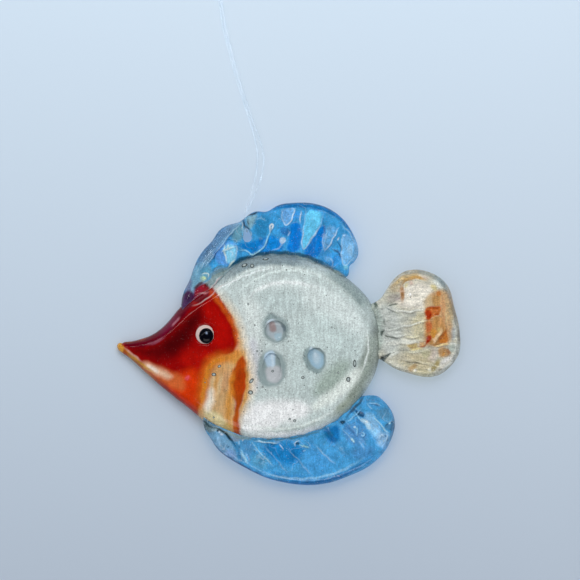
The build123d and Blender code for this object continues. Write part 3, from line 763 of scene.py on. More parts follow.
# ---- fins and tail ----
DORSAL_STROKES = [
    ("7a9cb8", 0.95, None, 4, [(245, 216), (232, 223), (222, 229), (208, 246), (196, 263),
        (188, 280), (184, 300), (196, 292), (202, 272), (214, 254), (228, 236), (243, 221)]),
    ("93bccd", 0.8, None, 3, [(232, 231), (226, 236), (214, 250), (202, 266), (198, 272),
        (204, 270), (216, 254), (228, 239)]),
    ("74a8c2", 0.9, None, 5, [(192, 272), (200, 262), (210, 264), (212, 274), (204, 286),
        (190, 290)]),
    ("5a9cb8", 0.8, None, 4, [(198, 268), (210, 266), (211, 276), (203, 278)]),
    ("6a9cac", 0.9, None, 4, [(230, 234), (238, 225), (243, 226), (242, 236), (242, 241),
        (234, 242)]),
    ("5c9ae2", 0.95, None, 4, [(214, 252), (222, 243), (234, 242), (238, 250), (236, 258),
        (228, 266), (216, 264)]),
    ("8ad6f6", 0.9, None, 4, [(222, 246), (234, 244), (237, 252), (234, 262), (227, 264),
        (226, 254)]),
    ("8ab0b8", 0.85, None, 4, [(245, 217), (256, 213), (258, 218), (254, 226), (250, 230),
        (247, 224)]),
    ("2a82b4", 0.85, None, 5, [(255, 218), (268, 215), (271, 224), (266, 236), (256, 238),
        (253, 230)]),
    ("0678c4", 0.95, None, 4, [(237, 244), (246, 243), (256, 241), (266, 236), (268, 241),
        (262, 249), (252, 255), (244, 250)], -0.15),
    ("0a4a6c", 0.85, 0.8, 2.2, [(228, 268.5), (233, 264.5), (237.7, 260), (247.6, 257.5),
        (254, 256)]),
    ("4a9cec", 0.7, None, 3, [(256, 250), (262, 244), (267, 236), (269, 238), (266, 245),
        (259, 251)]),
    ("0a84d8", 0.95, None, 4, [(270, 234), (280, 240), (284, 250), (272, 254), (258, 254),
        (266, 246)], -0.1),
    ("74b0ec", 0.8, None, 3.5, [(282, 209), (295, 208), (293, 216), (289.5, 224.5), (284, 225),
        (281, 217)], 0.15),
    ("2c70ae", 0.85, None, 3, [(280, 228), (290, 227), (289, 237), (281, 235)]),
    ("0078d0", 0.97, None, 3, [(290, 222), (302, 224), (301, 250), (290, 253), (286, 248),
        (290, 238)], -0.2),
    ("3b93dc", 0.8, 2, 2.5, [(297, 210), (296, 222)]),
    ("6cd0ff", 0.88, None, 3, [(306, 209.5), (323, 212), (319.3, 226.5), (308.4, 243.5),
        (303.6, 249.5), (301.2, 246), (303.6, 231.4)], 0.2),
    ("0078ce", 0.97, None, 2.5, [(319, 228), (326, 225), (324, 237), (322, 252), (316, 258),
        (305.5, 256), (304, 251), (312, 241)], -0.2),
    ("6cacde", 0.8, None, 3, [(325.4, 225.3), (338.7, 227.7), (330.3, 243.5), (324.8, 252),
        (322.5, 246)], 0.2),
    ("3a9ce8", 0.85, None, 3, [(325, 254), (336, 252), (340, 258), (341, 267), (330, 266),
        (322, 260)]),
    ("8cc4ee", 0.5, 1, 2, [(324, 257), (330, 261)]),
    ("7cbcf2", 0.9, None, 4, [(342, 233), (351, 236), (355, 247), (353, 258), (346, 265),
        (341, 262), (340.5, 250)], 0.15),
    ("b4dcfa", 0.35, None, 3, [(349, 243), (353, 246), (353, 255), (349, 258), (347, 250)]),
    ("84cfe4", 0.8, 1, 2.5, [(343, 267), (348, 267)]),
    # pale panels: painted highlights along their edges
    ("b9dcf6", 0.69, 0.09, 0.88, [(281.5, 210), (283, 224), (287, 226), (292, 219), (295, 209),
        (288, 208), (282, 210)]),
    ("b9dcf6", 0.69, 0.09, 0.88, [(306, 211), (303, 232), (301.5, 247), (304, 250), (311, 241),
        (320, 227), (324, 212)]),
    ("b9dcf6", 0.57, 0.09, 0.88, [(325, 226), (322, 245), (325.5, 252), (331, 243), (339, 228)]),
    ("b9dcf6", 0.69, 0.09, 0.96, [(343, 233), (341, 250), (342, 263), (346, 266), (354, 258),
        (356, 247)]),
    ("c8e4f8", 0.46, 0.09, 0.96, [(328, 256), (334, 262), (331, 268), (324, 263)]),
    ("cfe8fa", 0.4, 0.14, 1.1, [(286, 240), (279, 248), (272, 251)]),
    # rim
    ("0a68a6", 0.92, 1.5, 3, [(246, 217), (255, 213), (265, 210), (278, 206), (294, 205),
        (308, 205), (322, 208), (337, 214), (347, 223), (355, 234), (358, 246), (357, 256),
        (350, 267)]),
    ("7fb0d4", 0.7, 0.8, 2, [(353, 232), (357, 244), (356, 256), (350, 265)]),
    ("1d5576", 0.8, 0.2, 1.2, [(240, 220), (255, 212), (268, 208), (280, 205), (294, 203),
        (308, 203), (322, 206), (338, 213), (349, 222), (357, 234), (360, 246)]),
    # folds with painted shade in their grooves, a strip in the grey-green of the body's shaded
    # rim, painted shade along the seam by the body, and the crimson peak
    ("1a4668", 0.75, 0.3, 1, [(331, 248), (336, 250.7), (340.5, 254.4), (340, 260.4)], -0.12),
    ("1a4668", 0.7, 0.3, 1, [(337.5, 241), (341, 248), (340.5, 254)], -0.12),
    ("1c5f9e", 0.6, 0.3, 1, [(325.4, 226), (323.5, 238)]),
    ("93a5a3", 0.95, None, 2, [(200, 290), (206, 282), (214, 275), (226, 269.5), (236, 264.5),
        (248, 258.5), (262, 254.5), (277, 253.5), (301, 255.5), (313, 260), (331.5, 268.5),
        (349, 277), (349, 292), (328, 280), (306, 272), (280, 268), (250, 274), (230, 286),
        (212, 302)]),
    ("1f3f48", 0.85, 0.8, 2.2, [(207, 279), (214, 273.5), (226, 268.5), (236, 263.5),
        (248, 257.5), (262, 253.5), (277, 252.5), (301, 254.5), (313, 259), (331.5, 267.5),
        (350, 277)]),
    ("6f7f76", 0.6, 0.8, 2, [(323, 266), (336, 272), (349, 280)]),
    ("8c0618", 0.97, None, 3, [(191, 305), (193, 293), (198, 285), (206, 283), (212, 290),
        (216, 299), (206, 314)]),
    # ridges that catch the light
    (WHITE, 0.64, 0.18, 0.8, [(295, 209), (293, 216), (289.7, 222.9), (287, 225),
        (284, 224)], 0.12),
    (WHITE, 0.74, 0.23, 0.8, [(301, 210.8), (300, 222.9)], 0.15),
    (WHITE, 0.64, None, 1.2, [(279, 237), (288, 239), (281, 246)], 0.12),
    (WHITE, 0.52, 0.14, 0.8, [(289.7, 231.4), (288, 236.5)]),
    (WHITE, 0.56, 0.18, 0.8, [(319.3, 227), (308.4, 243.5), (303.6, 249.5)], 0.12),
    (WHITE, 0.44, 0.18, 0.8, [(303, 232), (301.5, 245)], 0.1),
    (WHITE, 0.64, 0.18, 0.8, [(338.7, 227.7), (330.3, 243.5), (324.8, 252)], 0.12),
    (WHITE, 0.69, 0.23, 0.8, [(338.7, 237.4), (337.5, 241)]),
    (WHITE, 0.3, 0.18, 0.96, [(341, 224), (352, 235), (355, 249.5)]),
    # left end: dark lines, painted highlights along ridges and in a star, the notch, painted
    # yellow-green glints and the dark red peak
    ("324f68", 0.7, 0.1, 1.1, [(238, 221.6), (231, 224), (224, 227.4), (217.4, 234.6),
        (209.4, 245.2), (200.8, 256.4), (194.8, 266), (190.2, 275.4), (187, 286), (182, 299)]),
    ("c4e0f2", 0.85, 0.2, 0.9, [(241.7, 222.6), (234.4, 229.9), (227, 237.9), (220.4, 246.5),
        (213.1, 255.8), (206.5, 265), (204.5, 267.7)], 0.2),
    ("c8e0ee", 0.75, 0.15, 0.9, [(215.1, 248.5), (209.2, 253.8), (202.5, 261.7)], 0.1),
    ("c8e0ee", 0.7, 0.15, 0.9, [(213, 251), (206, 261), (200.5, 269)], 0.1),
    ("2a5f86", 0.7, 0.2, 1.1, [(226.5, 240.4), (233, 240.2)]),
    ("1c5288", 0.75, 0.3, 1.3, [(217.4, 251), (214.6, 256), (213.6, 260)]),
    ("3c6874", 0.8, 0.2, 1.2, [(211, 270), (218, 267.4), (225.7, 265)]),
    ("7a8c88", 0.7, None, 4, [(212, 270), (226, 266), (229, 269), (220, 276), (210, 279)]),
    ("dcf4f0", 0.85, 0.25, 1, [(235.4, 246.4), (229.4, 249), (225, 249.4), (224.6, 253),
        (226, 258), (227.6, 263)], 0.12),
    ("dcf4f0", 0.8, 0.15, 0.9, [(224, 244), (225.4, 249), (222, 252)], 0.1),
    ("dcf4f0", 0.8, 0.2, 0.9, [(228, 245), (228, 249)], 0.1),
    ("c0e0fa", 0.7, 0.15, 1, [(229, 251), (234, 253), (231, 257)]),
    ("b4dcf4", 0.75, 0.15, 1, [(235.7, 243.4), (237, 249), (236.7, 254.4), (235, 258.4)]),
    ("ccdccc", 0.8, 0.3, 1.1, [(235, 258.4), (232.4, 263), (227.7, 267.7)]),
    ("a4e4fc", 0.9, 0.2, 0.9, [(238.3, 249.8), (244.3, 250.1), (248.3, 251.8), (251.6, 255.1),
        (256.2, 253.8), (262.2, 249.1), (266.9, 241.2), (269.5, 233.9), (270.8, 227)], 0.22),
    ("f0ffff", 0.9, 0.3, 0.9, [(269.8, 232.6), (270.4, 226), (272.4, 223.8), (273.6, 226.4),
        (271, 231)], 0.12),
    ("8cb4c8", 0.85, None, 2, [(242.4, 228.6), (247, 227.6), (251, 232), (250, 239),
        (246, 240.6), (242.8, 236)]),
    ("d0e2ea", 0.7, 0.15, 0.9, [(250.6, 231), (251.4, 235), (249.4, 239.6), (246, 240.8)]),
    ("c8dce4", 0.6, 0.15, 0.9, [(246, 235), (249.6, 234)]),
    ("101c22", 0.9, 0.4, 1.1, [(243.2, 218.4), (243.6, 222), (244.6, 226), (248.6, 228),
        (251, 231)]),
    ("28424c", 0.8, 0.25, 1.1, [(247, 220.6), (249.6, 224.6)]),
    ("101c22", 0.9, 0.3, 1.1, [(243.6, 219.4), (245.4, 216.4), (250.9, 214.4), (259.6, 212.4)]),
    ("dfe8e4", 0.7, 0.15, 0.9, [(241.4, 222), (243, 226.6), (242, 230)]),
    ("90c4e4", 0.5, 0.15, 1.2, [(256, 220), (262, 218), (266, 221)]),
    ("6c7498", 0.8, None, 4, [(185, 294), (187, 280), (192, 279), (192, 290)]),
    ("48123e", 0.95, None, 4, [(174, 318), (179, 300), (184, 292), (191, 290), (196, 296),
        (193, 308), (186, 318)]),
    ("280820", 0.35, 0.8, 2.4, [(187, 300), (190, 296)]),
    ("4a0c16", 0.85, 0.6, 1.8, [(195.4, 291), (196.6, 286.3), (200, 283), (205, 282)]),
    ("3c0508", 0.8, 0.6, 1.6, [(206, 283.4), (208, 287)]),
    ("a4142c", 0.7, 0.6, 1.8, [(201, 287.6), (205, 289)]),
    ("d4e494", 0.9, 0.5, 1.2, [(203.6, 279), (205.4, 277)]),
    ("c4dca0", 0.6, 1, 2.5, [(201, 280.6), (206, 277)]),
    ("dce8dc", 0.75, 0.15, 0.9, [(202, 275.4), (204, 273.6), (209.8, 273), (208, 277.4)]),
    ("e6b4b2", 0.8, 0.1, 0.9, [(197.2, 293.6), (204.5, 293.2), (209.8, 289.6), (217.8, 280.3),
        (223, 275)]),
    ("d4dedc", 0.6, 0.1, 0.9, [(211, 287), (220.4, 276.3)]),
]
VENTRAL_STROKES = [
    # broad fields of colour
    ("8aa0a0", 0.9, None, 3, [(194, 410), (206, 419), (222, 429), (238, 434), (252, 437),
        (250, 440), (236, 439), (222, 433), (206, 426), (197, 420)]),
    ("9db3b4", 0.9, None, 2.5, [(197, 417), (204, 421), (213, 428), (218, 430), (213, 434),
        (207, 431), (202, 423)]),
    ("74a4c8", 0.95, None, 3, [(208, 433), (214, 431), (222, 432), (229, 438), (236, 450),
        (240, 463), (232, 460), (220, 452), (212, 442)], 0.2),
    ("7fa6dc", 0.8, None, 4, [(225, 450), (233, 449), (237, 456), (234, 459), (227, 456)]),
    ("8a9fb4", 0.8, None, 3, [(230, 436), (239, 437), (240, 440), (234, 442)]),
    ("3c7ca8", 0.85, None, 4, [(233, 442), (240, 443), (242, 453), (247, 462), (242, 463),
        (237, 452)]),
    ("4f8cba", 0.9, None, 5, [(240, 441), (251, 441), (254, 450), (250, 456), (243, 452)]),
    ("5aa0c4", 0.8, None, 6, [(250, 455), (262, 453), (270, 462), (264, 470), (252, 466)]),
    ("1480c4", 0.9, None, 9, [(260, 443), (290, 441), (304, 446), (300, 462), (286, 466),
        (268, 458)], -0.15),
    ("4a9edc", 0.8, None, 8, [(302, 450), (318, 448), (334, 460), (322, 474), (304, 472)]),
    ("2f86ca", 0.7, None, 6, [(268, 470), (290, 476), (318, 476), (310, 481), (284, 482)]),
    ("0a70b4", 0.9, None, 5, [(322, 430), (336, 424), (341, 430), (338, 443), (328, 442)], -0.1),
    ("0a6090", 0.4, None, 3, [(330, 437), (340, 437), (341, 441), (332, 442)]),
    ("0a6f8e", 0.5, None, 4, [(318, 435), (332, 430), (334, 436), (322, 439)]),
    ("5494cc", 0.85, None, 6, [(344, 424), (360, 421), (368, 432), (366, 444), (352, 446),
        (344, 436)]),
    ("4a98d0", 0.85, None, 5, [(360, 402), (368, 397), (380, 399), (386, 404), (376, 407),
        (366, 408)]),
    ("8cc4f0", 0.85, None, 5, [(363, 412), (372, 412), (378, 424), (384, 434), (376, 440),
        (368, 430)], 0.1),
    ("5c98bc", 0.85, None, 4, [(376, 410), (386, 407), (391, 414), (391, 421), (382, 420),
        (376, 416)]),
    ("4a7ca0", 0.85, None, 3, [(384, 425), (389, 422), (394, 422), (393, 430), (388, 431)]),
    ("9cc4ea", 0.8, None, 5, [(376, 432), (388, 432), (389, 440), (384, 448), (377, 444)]),
    ("4c88bc", 0.7, None, 6, [(350, 448), (366, 444), (376, 448), (368, 458), (354, 460)]),
    # rim
    ("1a5f98", 0.85, 0.9, 3, [(212, 444), (220, 453), (242, 467), (268, 480), (298, 484),
        (330, 481), (358, 467), (378, 452)]),
    ("5c84a4", 0.8, 0.8, 2.5, [(378, 454), (388, 444), (393, 432), (395, 420), (391, 408)]),
    ("9fd0ee", 0.6, 0.3, 1.6, [(262, 473), (290, 478.5), (318, 478), (344, 470), (364, 457)]),
    ("22406a", 0.8, 0.2, 1.2, [(207.9, 433.5), (210.6, 438), (214.3, 444.7), (219.8, 451),
        (226.7, 456.2), (234, 460.8), (243, 465.6), (252, 470.6), (259, 474)]),
    ("0c1c2c", 0.9, 0.4, 1.2, [(388.5, 405.5), (391, 409), (393, 413.5)]),
    ("2c4c6c", 0.8, 0.2, 1.2, [(381, 397.6), (387, 402.6), (391, 408), (394.5, 414.9),
        (395.6, 421), (394.8, 427), (392, 438)]),
    # folds and pockets, with painted shade in them
    ("0e2224", 0.95, 0.5, 1.3, [(213, 427.5), (217.5, 428), (222, 429.6), (226.7, 434.1),
        (230.4, 438.7), (234, 442.4), (236, 446)], -0.2),
    ("1e3c3c", 0.85, 0.3, 1.3, [(196.9, 416.7), (203.8, 421.3), (209.3, 425.4),
        (213, 427.7)], -0.1),
    ("56767a", 0.8, 0.2, 1.2, [(197.8, 417.8), (202.8, 423.5), (207.4, 431)]),
    ("0a0c10", 0.9, 0.7, 1, [(218.2, 430.4)]),
    ("2c5878", 0.8, 0.6, 1.4, [(227.4, 446.4), (228.6, 447.6)]),
    ("4a7480", 0.8, 0.3, 1.3, [(244, 437.8), (262, 439.8), (290, 438.6), (307.5, 434.5),
        (322, 430), (335, 423.4)]),
    ("0a2a34", 0.9, None, 1.6, [(339.5, 421.5), (345, 419.5), (345, 422), (342, 424.5)]),
    ("2c4a5c", 0.85, 0.5, 1.4, [(345, 418.6), (353.2, 409), (359.3, 402.4), (361.9, 398.4),
        (365.8, 393.8)]),
    ("0b4468", 0.92, None, 1.6, [(354, 409), (359.3, 410.8), (363, 412.4), (364.6, 415),
        (363.4, 417.6), (360, 416), (356.4, 414.4)], -0.1),
    ("2f6fa0", 0.8, None, 2.5, [(355.5, 417), (361, 419), (362, 423), (357, 422)]),
    ("0a3c50", 0.9, 1.3, 1.3, [(297.7, 442), (297.7, 445)], -0.15),
    ("2c5c94", 0.8, 0.5, 1.2, [(375, 403.4), (378.4, 405)]),
    ("4c86a4", 0.7, 0.2, 1.2, [(372.3, 409.4), (376.6, 411.2), (381.8, 410.2)]),
    ("2c4c60", 0.8, 0.2, 1.1, [(383.6, 426.4), (388.3, 422.5), (394.4, 421.6)]),
    ("3c6c94", 0.8, 0.6, 1.2, [(384.9, 435.3)]),
    # ridges that catch the light
    ("9cc8ee", 0.7, 0.5, 2, [(217, 436), (219, 441), (221.5, 446)], 0.1),
    ("e0e8fa", 0.95, 0.4, 0.9, [(219.4, 431), (220.4, 432)]),
    ("d8e4fa", 0.9, 0.6, 1.1, [(221.4, 433), (222, 435)]),
    ("9ccdf4", 0.8, 0.3, 1.1, [(239, 440), (239.5, 444.4)]),
    ("dcecfa", 0.9, 0.3, 0.9, [(243.6, 439), (242.6, 441)]),
    ("a4dcff", 0.85, 0.5, 1.6, [(240.5, 449), (242.8, 454), (245.5, 460), (249.2, 463.4)], 0.15),
    ("90c0f0", 0.75, 0.3, 1.3, [(245, 452.5), (248.7, 457.5), (249.8, 462)], 0.1),
    ("9ad4f6", 0.85, 0.15, 1, [(251, 440), (253.8, 444.2), (255.6, 447.4), (258.8, 452),
        (263, 455), (269, 461), (274, 466)], 0.15),
    ("8cc4ec", 0.6, 0.1, 1, [(252.8, 448.8), (257, 450.8)]),
    ("c4e8f4", 0.8, 0.15, 0.9, [(254, 441), (264, 441.2), (270, 443), (279, 442)], 0.1),
    (WHITE, 0.55, 0.1, 0.8, [(279.6, 443.4), (283.3, 450)], 0.1),
    (WHITE, 0.7, 0.1, 0.8, [(295, 446.7), (295.3, 441.8), (299, 440.8)], 0.1),
    ("9fd8d0", 0.7, 0.3, 0.9, [(299.8, 444), (309.6, 448)], 0.1),
    ("8cc4f0", 0.5, 0.1, 1, [(286, 446), (292, 453), (299, 460), (306, 468), (312, 475)], 0.12),
    ("8cc4f0", 0.4, 0.1, 1, [(262, 443), (272, 454), (282, 466), (288, 474)], 0.12),
    ("9cd0f4", 0.5, 0.15, 1, [(315.3, 443.2), (319, 449), (326, 456), (336, 464)], 0.12),
    ("7cc0f0", 0.6, 0.8, 3, [(339, 446), (342, 450)]),
    ("8cc8ee", 0.8, 0.15, 0.9, [(352.8, 410.5), (356.7, 414.9), (361, 419.2),
        (362.4, 423)], 0.15),
    ("8cc8ee", 0.8, 0.15, 0.9, [(361.9, 408.4), (355.8, 413.6), (353.2, 417), (350.6, 419.7),
        (346.3, 420.2)], 0.15),
    ("c8ecff", 0.8, None, 2.5, [(360, 418), (364, 418.5), (368, 421), (372, 428), (369, 429),
        (364, 424)], 0.1),
    ("f0ffff", 0.9, 0.5, 1.2, [(365.6, 420.6), (367, 423)]),
    ("b0e4fe", 0.9, 0.2, 0.9, [(372.7, 413.6), (375.3, 418.4), (379.2, 422.7), (383.6, 428.3),
        (389.2, 433.7)], 0.18),
    ("8ccaf0", 0.75, 0.1, 0.9, [(367, 403.2), (369.7, 406.6), (372.3, 408.8)], 0.1),
    ("8ccaf0", 0.75, 0.1, 0.9, [(367.4, 403.6), (374, 401.8), (381.4, 406.4)], 0.1),
    ("c0ecfc", 0.9, 0.5, 1, [(389.2, 422.9)]),
    ("9cd4f8", 0.8, 0.7, 1.4, [(375, 434), (375.8, 432)]),
    ("b8e0fc", 0.8, 0.15, 0.9, [(378.8, 438.4), (380, 435.6), (382, 434.6),
        (383.6, 436.4)], 0.12),
    ("b8e0fc", 0.8, 0.3, 0.9, [(386.6, 433.6), (387, 437), (386, 440)], 0.12),
    ("c8e8fc", 0.85, 0.4, 0.9, [(384, 439.6), (382.6, 441)]),
    ("c8e8fc", 0.85, 0.5, 1, [(380, 441), (379.6, 444)]),
    ("90d0fa", 0.85, 0.2, 0.9, [(354.3, 426), (357.5, 428.3), (357.2, 432),
        (356.2, 435.5)], 0.12),
    ("d0f0ff", 0.9, 0.5, 0.8, [(354.5, 426.4)]),
    ("a0d8fa", 0.8, 0.15, 0.8, [(361.4, 433), (363, 432.2), (364.4, 434), (363, 435.8),
        (361.4, 435), (361.4, 433)], 0.1),
    ("86c4f0", 0.8, 0.1, 0.9, [(341, 426.2), (346.3, 433.1), (352.3, 439.2)], 0.18),
    ("c4f4ff", 0.9, 0.4, 1, [(351, 438), (354.8, 442.2)], 0.1),
    ("a8d4f0", 0.6, 0.15, 1, [(370.6, 431.4), (375.8, 428.3)]),
    ("9cc8ec", 0.5, 0.15, 1.2, [(358, 440), (362, 444), (364, 450)]),
    ("7cb0dc", 0.5, 0.5, 3, [(376, 446), (384, 440)]),
]
